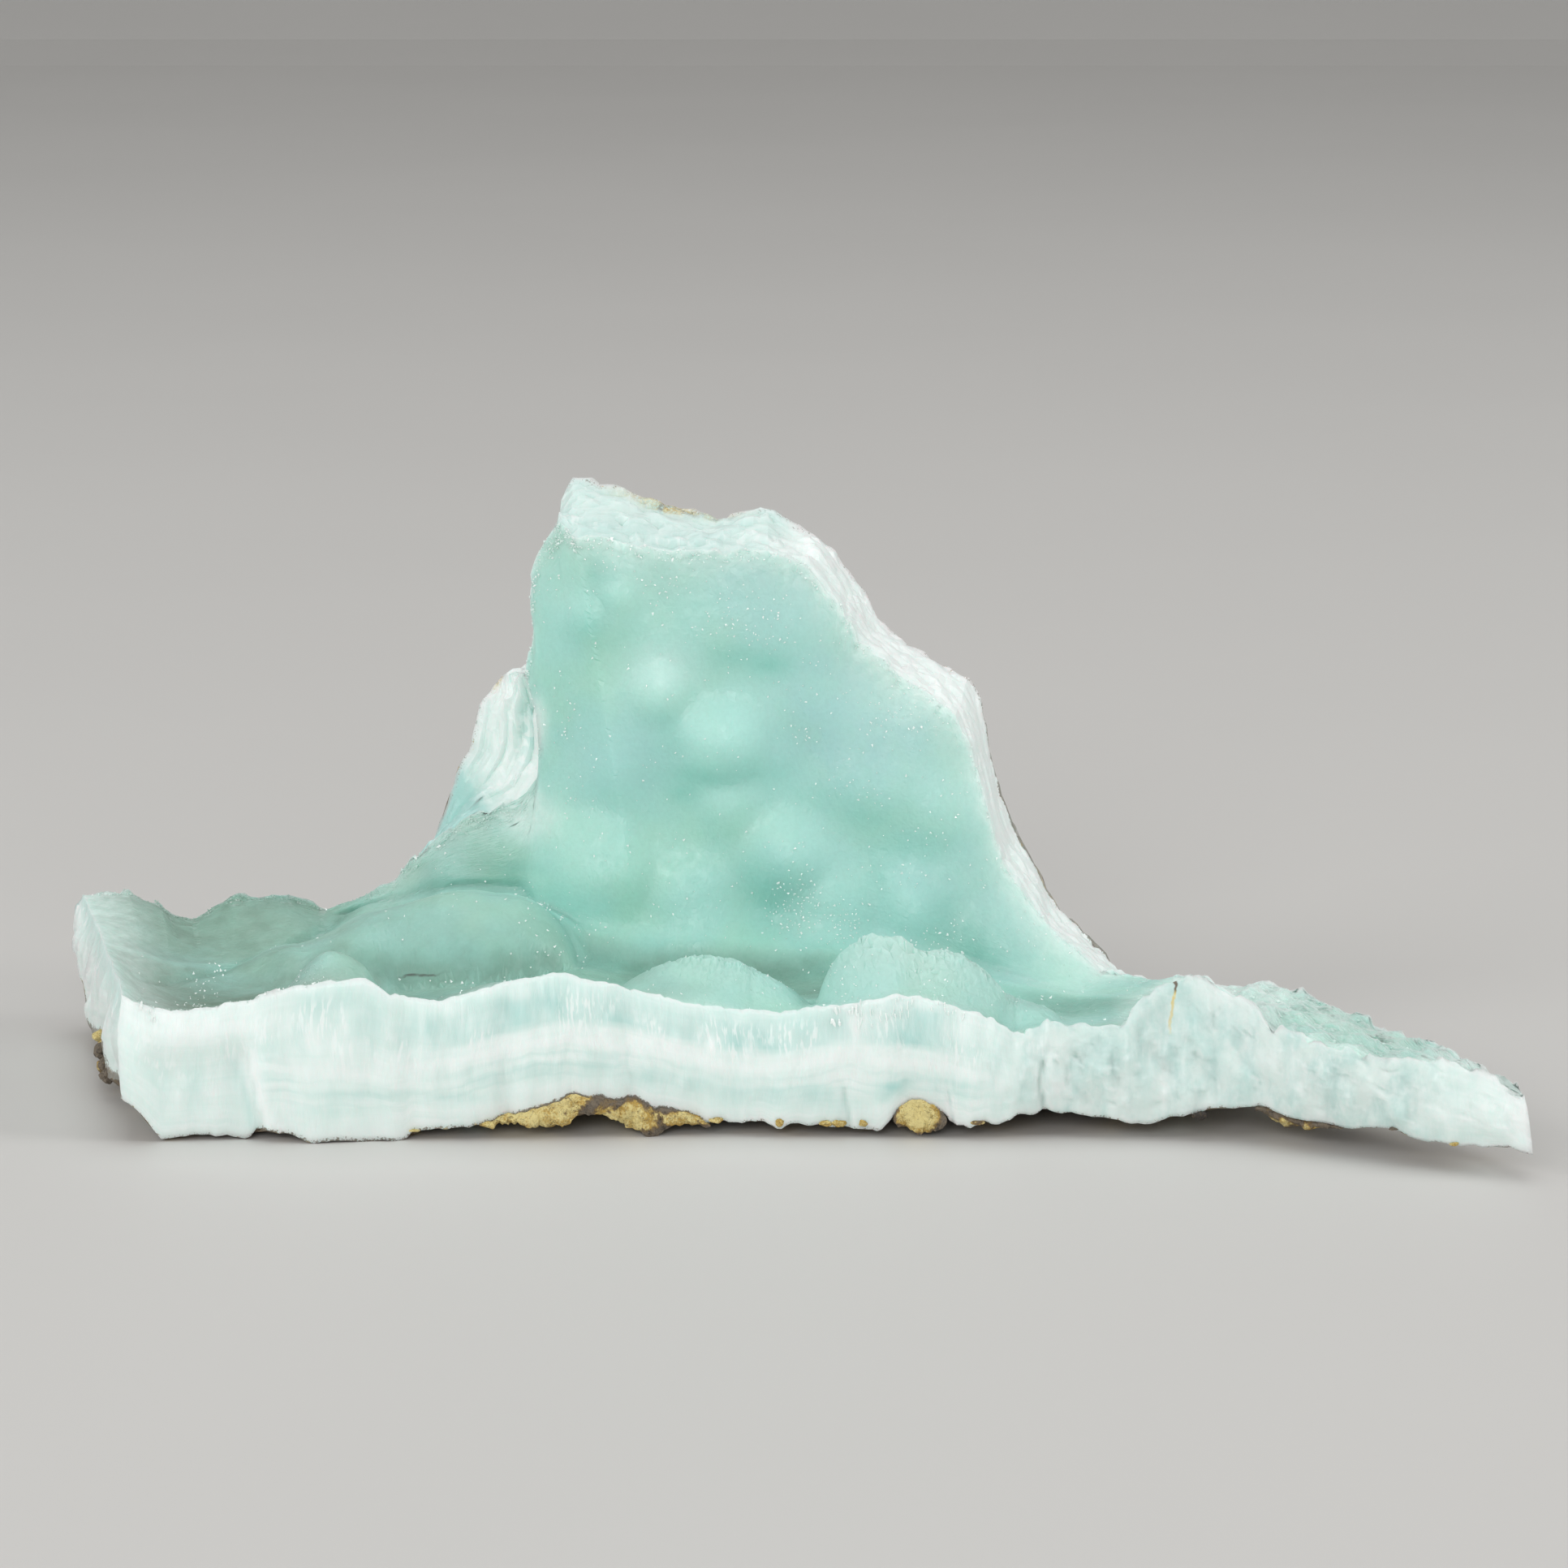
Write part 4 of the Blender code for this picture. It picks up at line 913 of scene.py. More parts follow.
    # Near the druse the wall's rim is aqua, most of all on the left; outwards it is milky.
    on_top = on_rim * ramp(station, 28, 30) * (1 - ramp(station, 72, 75))
    to_right = ramp(wander, 45.0, 50.5)
    at_end = (1 - ramp(station, 0.0, 0.4)) * (1 - on_front)
    aqua = most(
        spots(AQUA_SPOTS, x, z, 1.1) * on_front,
        upper * (0.70 + 0.18 * ripple(point * (1, 0, 1), 3.0, 57)),
        0.55 * bell(beside + 0.55, 0.45) * low,
        chip * most(0.6 * pocket, 0.4 * low_back, 0.10 * ramp(shelf, 0.30, 0.05)),
        on_rim * 1.1 * (1 - ramp(station, 21.5 + depth, 23.5 + depth)),
        on_top * (1 - 0.5 * ramp(depth, 0.15, 0.6)) * (0.55 - 0.35 * to_right),
        at_end * 0.55 * (1 - ramp(depth, 0.05, 0.5)),
    )
    milk = most(
        0.55 * bell(z - ridge, 0.75) * band,
        spots(MILK_SPOTS, x, z, 1.1) * on_front,
        0.9 * bell(beside - 0.75, 0.75) * low,
        chip * 0.6 * (1 - pocket) * (1 - low_back),
        on_top * 0.95 * to_right * ramp(depth, -0.1, 0.2),
    )
    rusty = [(-10.0, 39.0, 3.2, 2.4, 1.0), (-6.5, 38.0, 2.2, 2.0, 0.5)]
    rust = most(
        on_rim * ramp(depth, 0.72, 0.95) * spots(rusty, x, z, 1.0),
        on_rim * ramp(depth, 0.8, 0.95) * spots([(-22.3, 26.6, 1.0, 0.8, 1.0)], x, z),
    )

    # A dark film lies along the lower edge, most of all over the host rock, at the back
    # edge of the rim and at the left end. Along the front's lower edge it is partly film and
    # partly a painted shadow line of the gap under the edge, strongest left of the host rock.
    low_edge_film_and_shade = most(
        np.full(station.shape, 0.35),
        within(station, 25, 28, 42, 45),
        0.6 * ramp(station, 5, 9) * (1 - ramp(station, 27, 30)),
    )
    end_corner = spots([(0.24, 0.0, 0.08, 9.0, 1.0)], reach, 0 * x)
    film = most(
        on_front * ramp(depth, 0.955, 0.995) * low_edge_film_and_shade,
        on_rim * ramp(depth, 0.86, 0.98) * (0.25 + 0.75 * ramp(station, 58, 66)),
        at_end * ramp(depth, 0.86, 0.97) * 0.9,
        at_end * ramp(depth, 0.72, 0.85) * 0.7 * end_corner,
    )
    right_grains = ramp(station, 62, 76) * (1 - 0.7 * ramp(station, 91, 97)) * (1 - on_top)
    return {
        "pale": most(pale, 0.15 * tail),
        "deep": most(spots(DEEP_CLOUDS, x, z) * wall, hollows, 0.55 * folds),
        "blue": spots(BLUE_CLOUDS, x, z, 0.8) * wall,
        "white": white,
        "grey": grey,
        "aqua": aqua,
        "milk": milk,
        "rust": rust,
        "film": film,
        "grainy": most(right_grains, on_top * (0.5 - 0.25 * to_right)),
        # Where the long lobe overhangs the floor, a dark line is painted along its foot: painted
        # shadow.
        "from_lobe_foot": np.clip(below_lobe(station, reach), -2.0, 2.0),
        "lobe_shade_line": floor * ramp(station, 18.0, 19.2) * (1 - ramp(station, 20.6, 22.0)),
        "banded": band * (1 - 0.5 * ramp(x, -20, -12)),
        "from_band": np.clip(z - ridge, -5.0, 5.0),
        "fibre": layers(station, reach, depth),
    }


def evenly(*spans):
    """Slices of several spans one after another, each span (start, end, number of cells)."""
    starts = [np.linspace(start, end, cells + 1)[:-1] for start, end, cells in spans]
    return np.append(np.concatenate(starts), spans[-1][1])


def area_samples(first, last, low, high, number, rng):
    """Stations and reaches spread evenly over the area of the drusy side between limits.

    The side is cut into small cells, and the running sum of their areas is walked in
    equal steps with a random part, so that each cell gets points by its area.
    """
    stations = np.linspace(first, last, int((last - first) * 2.2) + 2)
    reaches = np.linspace(low, high, int((high - low) * 90) + 2)
    s, t = np.meshgrid(stations, reaches, indexing="ij")
    grid = inner(s, t)
    corner = grid[:-1, :-1]
    area = np.linalg.norm(np.cross(grid[1:, :-1] - corner, grid[:-1, 1:] - corner), axis=-1)
    total = np.cumsum(area.ravel())
    walk = (np.arange(number) + rng.random(number)) / number * total[-1]
    cell = np.minimum(np.searchsorted(total, walk), total.size - 1)
    row, column = np.divmod(cell, area.shape[1])
    station = stations[row] + rng.random(number) * (stations[1] - stations[0])
    reach = reaches[column] + rng.random(number) * (reaches[1] - reaches[0])
    return station, reach


def frames_round(foot, axis, rng):
    """Foot, unit direction and two crossing directions of crystals, the two at random."""
    axis = unit(axis)
    other = unit(np.cross(axis, rng.normal(size=axis.shape)))
    return foot, axis, other, np.cross(axis, other)


def crystals(frames, half, height, sink, sides, shoulder, given):
    """Pointed crystals: a ring of corners at the foot, one at the shoulder, and a tip.

    Corner n of a ring lies at centre + half * (cos(a) u + sin(a) v) with a = 2 pi n / sides.
    With shoulder 0 the crystal is a plain pyramid. The foot ring is closed by one face.
    All points of a crystal carry the marks given for it.
    """
    foot, axis, u, v = frames
    turn = np.arange(sides) * 2 * np.pi / sides
    spoke = np.cos(turn)[None, :, None] * u[:, None] + np.sin(turn)[None, :, None] * v[:, None]
    spoke = spoke * half[:, None, None]
    base = (foot - axis * sink[:, None])[:, None]
    rings = [base + spoke]
    if shoulder:
        rings.append(base + axis[:, None] * (height * shoulder + sink)[:, None, None] + spoke)
    tip = (foot + axis * height[:, None])[:, None]
    points = np.concatenate([*rings, tip], axis=1)
    size = points.shape[1]
    start = (np.arange(len(foot)) * size)[:, None]
    ring = np.arange(sides)
    after = np.roll(ring, -1)
    faces = [start + ring[::-1]]
    for level in range(len(rings) - 1):
        low, high = level * sides, (level + 1) * sides
        side = np.stack([low + ring, low + after, high + after, high + ring], axis=-1)
        faces.append((start[:, :, None] + side[None]).reshape(-1, 4))
    last = (len(rings) - 1) * sides
    side = np.stack([last + ring, last + after, np.full(sides, size - 1)], axis=-1)
    faces.append((start[:, :, None] + side[None]).reshape(-1, 3))
    marked = {key: np.repeat(value, size, axis=0) for key, value in given.items()}
    return points.reshape(-1, 3), faces, marked


def druse_field(first, last, low, high, number, scale, lean, sides, shoulder, sparse, rng):
    """Crystals spread over the drusy side between two stations and two reaches.

    scale is their width in common grains, and lean how far they turn away from upright.
    Where sparse is true, only the bright ones stand out of the fine druse.
    """
    station, reach = area_samples(first, last, low, high, number, rng)
    place = crust(station, reach, np.zeros(number))
    shine = 0.012 + 0.10 * np.clip(ripple(place, 5.0, 81), 0, 1)
    shine += 0.85 * spots(SPARKLES, place[:, 0], place[:, 2], 1.0)
    bright = rng.random(number) < shine
    if sparse:
        station, reach, bright = station[bright], reach[bright], bright[bright]
    number = len(station)
    depth = np.zeros(number)
    foot = crust(station, reach, depth)
    normal = facing(inner, station, reach, 1)
    frames = frames_round(foot, normal + rng.normal(size=normal.shape) * lean, rng)
    grain = sizes().grain / MM
    half = grain * scale * rng.uniform(0.32, 0.62, number) * np.where(bright, 1.25, 1.0)
    tall = half * rng.uniform(0.4, 1.0, number) * np.where(bright, 1.6, 1.0)
    given = marks(foot, station, reach, depth)
    on_tail = ramp(station, 76, 80)
    at_rim = ramp(reach, 0.95, 0.975) * ramp(station, 26, 29) * (1 - on_tail)
    common = 0.10 + 0.25 * rng.random(number) + 0.30 * at_rim
    # The bright crystals are made white: a painted glint.
    given["whiteness_and_glint"] = np.where(bright, 1.0 - 0.4 * on_tail, common)
    return crystals(frames, half, tall, half * 0.9, sides, shoulder, given)


def splinter_row(first, last, low, high, number, width, length, rng):
    """Broken crystals that stand nearly upright along the top of the front edge."""
    station = rng.uniform(first, last, number)
    depth = rng.uniform(low, high, number)
    reach = np.zeros(number)
    foot = crust(station, reach, depth)
    axis = np.array([0.0, -0.22, 1.0]) + rng.normal(size=(number, 3)) * (0.16, 0.10, 0.05)
    frames = frames_round(foot, axis, rng)
    half = width * rng.uniform(0.7, 1.3, number)
    tall = length * rng.uniform(0.5, 1.2, number)
    foot[:, 1] += half * 0.3
    given = marks(foot, station, reach, depth)
    given["whiteness_and_glint"] = rng.uniform(0.7, 1.0, number)
    return crystals(frames, half, tall, half * 2.0, 5, 0.8, given)


def lump(centre, half, seed, cells=(20, 11)):
    """A closed knobbly grain: a ball whose radius is varied by sine waves.

    The two parameters are the angle round and the angle from pole to pole; the poles
    are single points.
    """
    around, down = cells
    turn = np.arange(around) * 2 * np.pi / around
    fall = np.linspace(0, np.pi, down + 1)[1:-1]
    a, b = np.meshgrid(turn, fall, indexing="ij")
    ball = np.stack([np.cos(a) * np.sin(b), np.sin(a) * np.sin(b), np.cos(b)], axis=-1)
    ball = np.concatenate([ball.reshape(-1, 3), [[0, 0, 1], [0, 0, -1]]])
    swelling = 1 + 0.20 * ripple(ball, 1.5, seed) + 0.10 * ripple(ball, 0.6, seed + 1)
    points = np.array(centre) + ball * np.array(half) * swelling[:, None]
    rows = down - 1
    grid = np.arange(around * rows).reshape(around, rows)
    after = np.roll(grid, -1, axis=0)
    body = np.stack([grid[:, :-1], grid[:, 1:], after[:, 1:], after[:, :-1]], axis=-1).reshape(-1, 4)
    north = np.stack([grid[:, 0], after[:, 0], np.full(around, around * rows)], axis=-1)
    south = np.stack([after[:, -1], grid[:, -1], np.full(around, around * rows + 1)], axis=-1)
    return points, [body, north, south]


def crumb(yellow, station, reach, depth, half, seed):
    """A grain of host rock on the edge of the crust; a depth over 1 lies below the edge."""
    spot = crust(np.array([station]), np.array([reach]), np.array([min(depth, 1.0)]))[0]
    spot[2] -= max(depth - 1.0, 0.0) * LAYER_SCALE[2]
    points, faces = lump(spot, half, seed)
    return points, faces, {"yellow": np.full(len(points), yellow)}


def plain_skin(cells):
    """The skin of a block in even cells, closed, and its point coordinates from 0 to 1."""
    shape = [count + 1 for count in cells]
    number = np.arange(np.prod(shape)).reshape(shape)
    used, (faces,) = renumbered([np.concatenate([quads(side) for side in sides_of(number)])])
    places = np.indices(shape).reshape(3, -1)[:, used]
    return [np.linspace(0, 1, count)[place] for count, place in zip(shape, places)], faces


def remnant(cells, first, last, near, deep, profile, lowest):
    """A remnant of host rock that clings to the underside between two stations.

    Its top lies a hair below the rock side. Its thickness follows the profile along
    the front edge and falls to a third at the back. Sine waves of two lengths and a heap
    of tilted grains make it crumbly. Nothing of it lies below lowest.
    """
    (share, reach, depth), faces = plain_skin(cells)
    station = first + (last - first) * share
    back = near + (deep - near) * reach
    down = facing(plain_outer, station, back, -1)
    thick = np.interp(share, *zip(*profile)) * (1.0 - 0.65 * reach**2)
    spot = crust(station, back, np.ones_like(station)) - down * 0.05
    seed = int(first * 7)
    knobs = 0.16 * ripple(spot, 2.0, seed + 3)
    spot[:, 2] -= thick * depth
    crumbs = 0.22 * grains(spot, 0.9, seed + 4) + 0.05 * ripple(spot, 0.45, seed + 5) - 0.06
    spot += down * ((knobs + crumbs) * ramp(depth, 0.1, 0.8))[:, None]
    bulge = np.sin(np.pi * depth) * 0.3 + crumbs * ramp(depth, 0.05, 0.3)
    spot[:, 1] += bulge * np.where(reach < 0.01, -1, np.where(reach > 0.99, 1, 0))
    spot[:, 0] += bulge * np.where(share < 0.01, -1, np.where(share > 0.99, 1, 0))
    spot[:, 2] = np.maximum(spot[:, 2], lowest)
    return spot, faces


def put(tree, kind, inputs=None, **settings):
    """A new node with its settings, and with each named input set or linked."""
    made = tree.nodes.new(kind)
    for key, value in settings.items():
        setattr(made, key, value)
    for key, value in (inputs or {}).items():
        socket = made.inputs[key]
        if isinstance(value, bpy.types.NodeSocket):
            tree.links.new(value, socket)
        else:
            socket.default_value = value
    return made


def calc(tree, operation, a, b=0.0, clamp=False):
    """One step of arithmetic."""
    return put(tree, "ShaderNodeMath", {0: a, 1: b}, operation=operation, use_clamp=clamp).outputs[0]


def times(tree, a, b, clamp=False):
    """The product of two numbers."""
    return calc(tree, "MULTIPLY", a, b, clamp)


def plus(tree, a, b):
    """The sum of two numbers."""
    return calc(tree, "ADD", a, b)


def apart(tree, a, b):
    """How far apart two numbers are."""
    return calc(tree, "ABSOLUTE", calc(tree, "SUBTRACT", a, b))


def fade(tree, value, start, end, first=0.0, last=1.0):
    """An eased passage of value from start to end, put out between first and last."""
    given = {"Value": value, "From Min": start, "From Max": end, "To Min": first, "To Max": last}
    return put(tree, "ShaderNodeMapRange", given, interpolation_type="SMOOTHSTEP").outputs[0]


def tint(tree, factor, a, b):
    """Colour a turned towards colour b by factor; each is a socket or a plain colour."""
    ends = [end if isinstance(end, bpy.types.NodeSocket) else (*end[:3], 1.0) for end in (a, b)]
    return put(tree, "ShaderNodeMix", {0: factor, 6: ends[0], 7: ends[1]}, data_type="RGBA").outputs[2]


def clouds(tree, vector, scale, detail=2.0, roughness=0.5, distortion=0.0):
    """Soft noise, near 0.5 on average."""
    given = {"Vector": vector, "Scale": scale, "Detail": detail, "Roughness": roughness}
    return put(tree, "ShaderNodeTexNoise", {**given, "Distortion": distortion}).outputs["Fac"]


def stretched(tree, vector, *scale):
    """A vector scaled by its own factor along each axis."""
    given = {0: vector, 1: scale}
    return put(tree, "ShaderNodeVectorMath", given, operation="MULTIPLY").outputs[0]


def scaled(tree, vector, factor):
    """A vector or colour scaled by one factor."""
    given = {0: vector, "Scale": factor}
    return put(tree, "ShaderNodeVectorMath", given, operation="SCALE").outputs[0]


def read(tree, name, what="Fac"):
    """A number or vector that the piece carries at each point."""
    return put(tree, "ShaderNodeAttribute", attribute_name=name).outputs[what]


def new_group(name, inputs, outputs):
    """An empty node group with named sockets, given as (name, kind, default)."""
    tree = bpy.data.node_groups.new(name, "ShaderNodeTree")
    for label, kind, default in inputs:
        made = tree.interface.new_socket(label, in_out="INPUT", socket_type="NodeSocket" + kind)
        if default is not None:
            made.default_value = default
    for label, kind in outputs:
        tree.interface.new_socket(label, in_out="OUTPUT", socket_type="NodeSocket" + kind)
    return tree, tree.nodes.new("NodeGroupInput").outputs, tree.nodes.new("NodeGroupOutput").inputs


def place_group(tree, group, **inputs):
    """A group placed in a material, with its inputs set or linked."""
    return put(tree, "ShaderNodeGroup", inputs, node_tree=group).outputs


def druse_group(hues):
    """The colour of the drusy side from the piece's own marks, with soft natural clouds."""
    inputs = [("Position", "Vector", None), ("Whiteness", "Float", 0.0)]
    tree, given, result = new_group("Druse colour", inputs, [("Color", "Color")])
    place = scaled(tree, given["Position"], 1 / MM)
    broad = clouds(tree, place, 0.16, 2.0, 0.5)
    middle = clouds(tree, place, 0.55, 3.0, 0.55, 0.4)
    base = tint(tree, fade(tree, broad, 0.35, 0.65), hues.druse, hues.druse_green)
    # Mark, and how the cloud weakens or strengthens it: from, to, least, most.
    for mark, *passage in (
        ("blue", 0.2, 0.75, 0.55, 1.1),
        ("deep", 0.25, 0.7, 0.75, 1.1),
        ("pale", 0.3, 0.7, 0.8, 1.05),
        ("grey", 0.25, 0.75, 0.8, 1.1),
    ):
        share = times(tree, read(tree, mark), fade(tree, middle, *passage))
        base = tint(tree, share, base, getattr(hues, "druse_" + mark))
    ragged = fade(tree, clouds(tree, place, 0.9, 4.0, 0.65), 0.3, 0.7, 0.78, 1.12)
    base = tint(tree, times(tree, read(tree, "white"), ragged, True), base, hues.frost)
    # Whiteness turns a crystal towards the glint colour: on the bright crystals this white is a
    # painted glint.
    base = tint(tree, given["Whiteness"], base, hues.glint)
    grain = fade(tree, clouds(tree, place, 3.2, 2.0, 0.6), 0.25, 0.75, 0.975, 1.02)
    tree.links.new(scaled(tree, base, grain), result["Color"])
    return tree


def fibre_group():
    """Streaks along the fibres and bands across them, on the broken faces.

    Streaks are noise drawn out along the depth; bands are noise drawn out along the
    crust. Height is for a bump.
    """
    outputs = [("Streaks", "Float"), ("Bands", "Float"), ("Combs", "Float"), ("Height", "Float")]
    tree, given, result = new_group("Fibres and bands", [("Fibre", "Vector", None)], outputs)
    fibre = given["Fibre"]
    lean = clouds(tree, scaled(tree, fibre, 0.12), 1.0, 1.0)
    lean = put(tree, "ShaderNodeCombineXYZ", {"X": times(tree, lean, 2.5)}).outputs[0]
    bent = put(tree, "ShaderNodeVectorMath", {0: fibre, 1: lean}, operation="ADD").outputs[0]
    wide = clouds(tree, stretched(tree, bent, 1.1, 1.1, 0.14), 1.0, 3.0, 0.6)
    thin = clouds(tree, stretched(tree, bent, 4.5, 4.5, 0.45), 1.0, 3.0, 0.65)
    streaks = plus(tree, times(tree, wide, 0.6), times(tree, thin, 0.4))
    bands = clouds(tree, stretched(tree, fibre, 0.10, 0.10, 1.7), 1.0, 3.0, 0.6, 0.15)
    # Combs are short white crystals side by side, in the upper half of the layer only.
    comb = clouds(tree, stretched(tree, bent, 3.2, 3.2, 0.8), 1.0, 2.0, 0.5)
    where = clouds(tree, stretched(tree, fibre, 0.25, 0.25, 0.3), 1.0, 2.0, 0.5)
    through = put(tree, "ShaderNodeSeparateXYZ", {0: fibre}).outputs["Z"]
    zone = times(tree, fade(tree, through, 0.3, 1.4), fade(tree, through, 3.4, 5.0, 1.0, 0.0))
    comb = times(tree, fade(tree, comb, 0.50, 0.60), fade(tree, where, 0.44, 0.60))
    hair = clouds(tree, stretched(tree, bent, 9.0, 9.0, 1.2), 1.0, 2.0, 0.6)
    tree.links.new(fade(tree, streaks, 0.36, 0.64), result["Streaks"])
    tree.links.new(fade(tree, bands, 0.38, 0.62), result["Bands"])
    tree.links.new(times(tree, comb, zone), result["Combs"])
    height = plus(tree, times(tree, thin, 0.6), times(tree, hair, 0.4))
    tree.links.new(height, result["Height"])
    return tree


def film_group(hues):
    """Iron-stained rock or film: dark, grey-brown, ochre and yellow in crumbly patches."""
    inputs = [("Position", "Vector", None), ("Yellow", "Float", 0.5), ("Grain", "Float", 1.0)]
    outputs = [("Color", "Color"), ("Height", "Float")]
    tree, given, result = new_group("Iron stain", inputs, outputs)
    place = scaled(tree, scaled(tree, given["Position"], 1 / MM), given["Grain"])
    patch = clouds(tree, place, 0.55, 4.0, 0.62, 0.6)
    crumb = clouds(tree, place, 3.4, 4.0, 0.7)
    speck = clouds(tree, place, 7.0, 2.0, 0.6)
    lighter = times(tree, fade(tree, crumb, 0.30, 0.52), fade(tree, given["Yellow"], -0.6, 0.0))
    base = tint(tree, lighter, hues.rock_dark, hues.rock_grey)
    wanted = calc(tree, "SUBTRACT", 0.815, times(tree, given["Yellow"], 0.38))
    ochre = calc(tree, "SUBTRACT", plus(tree, patch, times(tree, crumb, 0.25)), wanted)
    base = tint(tree, fade(tree, ochre, -0.12, -0.01, 0.0, 0.8), base, hues.rock_brown)
    ochre = fade(tree, ochre, -0.03, 0.05)
    ripe = plus(tree, clouds(tree, place, 1.1, 3.0, 0.6), times(tree, speck, 0.8))
    ripe = plus(tree, ripe, times(tree, given["Yellow"], 0.25))
    warm = tint(tree, fade(tree, ripe, 0.92, 1.24), hues.rock_ochre, hues.rock_yellow)
    base = tint(tree, ochre, base, warm)
    pits = fade(tree, clouds(tree, place, 4.2, 3.0, 0.7), 0.56, 0.66, 0.0, 0.35)
    base = tint(tree, pits, base, hues.rock_brown)
    # Thin dark lines wind where a distorted noise passes through its middle value.
    wind = apart(tree, clouds(tree, place, 0.9, 4.0, 0.7, 1.2), 0.5)
    lines = times(tree, fade(tree, wind, 0.004, 0.022, 1.0, 0.0), fade(tree, crumb, 0.42, 0.56))
    base = tint(tree, times(tree, lines, 0.6), base, hues.rock_dark)
    dark = fade(tree, clouds(tree, place, 2.1, 5.0, 0.75), 0.62, 0.72)
    base = tint(tree, times(tree, dark, 0.5), base, hues.rock_dark)
    tree.links.new(base, result["Color"])
    tree.links.new(plus(tree, crumb, times(tree, speck, 0.5)), result["Height"])
    return tree


def new_material(name):
    """A material, its tree, its shader's inputs, and where each point lies on the piece."""
    made = bpy.data.materials.new(name)
    made.use_nodes = True
    tree = made.node_tree
    place = put(tree, "ShaderNodeTexCoord").outputs["Object"]
    return made, tree, tree.nodes["Principled BSDF"].inputs, place


def coat(tree, shader, base, rough):
    """Links the colour and the roughness of a surface."""
    tree.links.new(base, shader["Base Color"])
    tree.links.new(rough, shader["Roughness"])


def scatter_light(shader, weight, radius):
    """Lets light wander this far, in metres, under the surface."""
    shader["Subsurface Weight"].default_value = weight
    shader["Subsurface Radius"].default_value = (0.75, 1.0, 0.95)
    shader["Subsurface Scale"].default_value = radius
    shader["IOR"].default_value = REFRACTION


def bump(tree, shader, height, distance, strength):
    """A bump from a height, in metres."""
    given = {"Height": height, "Distance": distance, "Strength": strength}
    tree.links.new(put(tree, "ShaderNodeBump", given).outputs["Normal"], shader["Normal"])


def druse_material(group, hues, radius):
    """The drusy side of the crust: translucent, glassy grains."""
    made, tree, shader, place = new_material("Druse")
    found = place_group(tree, group, Position=place, Whiteness=0.0)
    # A thin dark line, in pieces, is painted along the foot of the long lobe: painted shadow under the
    # overhanging lobe.
    wobble = fade(tree, clouds(tree, place, 600.0, 3.0, 0.6), 0.3, 0.7, -0.06, 0.06)
    aside = calc(tree, "ABSOLUTE", plus(tree, read(tree, "from_lobe_foot"), wobble))
    broken = fade(tree, clouds(tree, place, 700.0, 2.0), 0.36, 0.52, 0.35, 1.0)
    broken = times(tree, broken, read(tree, "lobe_shade_line"))
    line = times(tree, fade(tree, aside, 0.01, 0.07, 0.75, 0.0), broken)
    gloss = fade(tree, clouds(tree, place, 1500.0, 2.0), 0.3, 0.7, 0.36, 0.60)
    coat(tree, shader, tint(tree, line, found["Color"], hues.rock_dark), gloss)
    grains = put(tree, "ShaderNodeTexVoronoi", {"Vector": place, "Scale": 5200.0}, feature="F1")
    bump(tree, shader, grains.outputs["Distance"], 0.00004, 0.2)
    scatter_light(shader, 0.9, radius)
    return made


def crystal_material(group):
    """The crystals that stand out of the druse: whitish, and the bright ones white with a painted
    glint.
    """
    made, tree, shader, place = new_material("Crystals")
    whiteness_and_glint = read(tree, "whiteness_and_glint")
    found = place_group(tree, group, Position=place, Whiteness=whiteness_and_glint)
    coat(tree, shader, found["Color"], fade(tree, whiteness_and_glint, 0.2, 0.9, 0.42, 0.12))
    shader["IOR"].default_value = REFRACTION
    return made


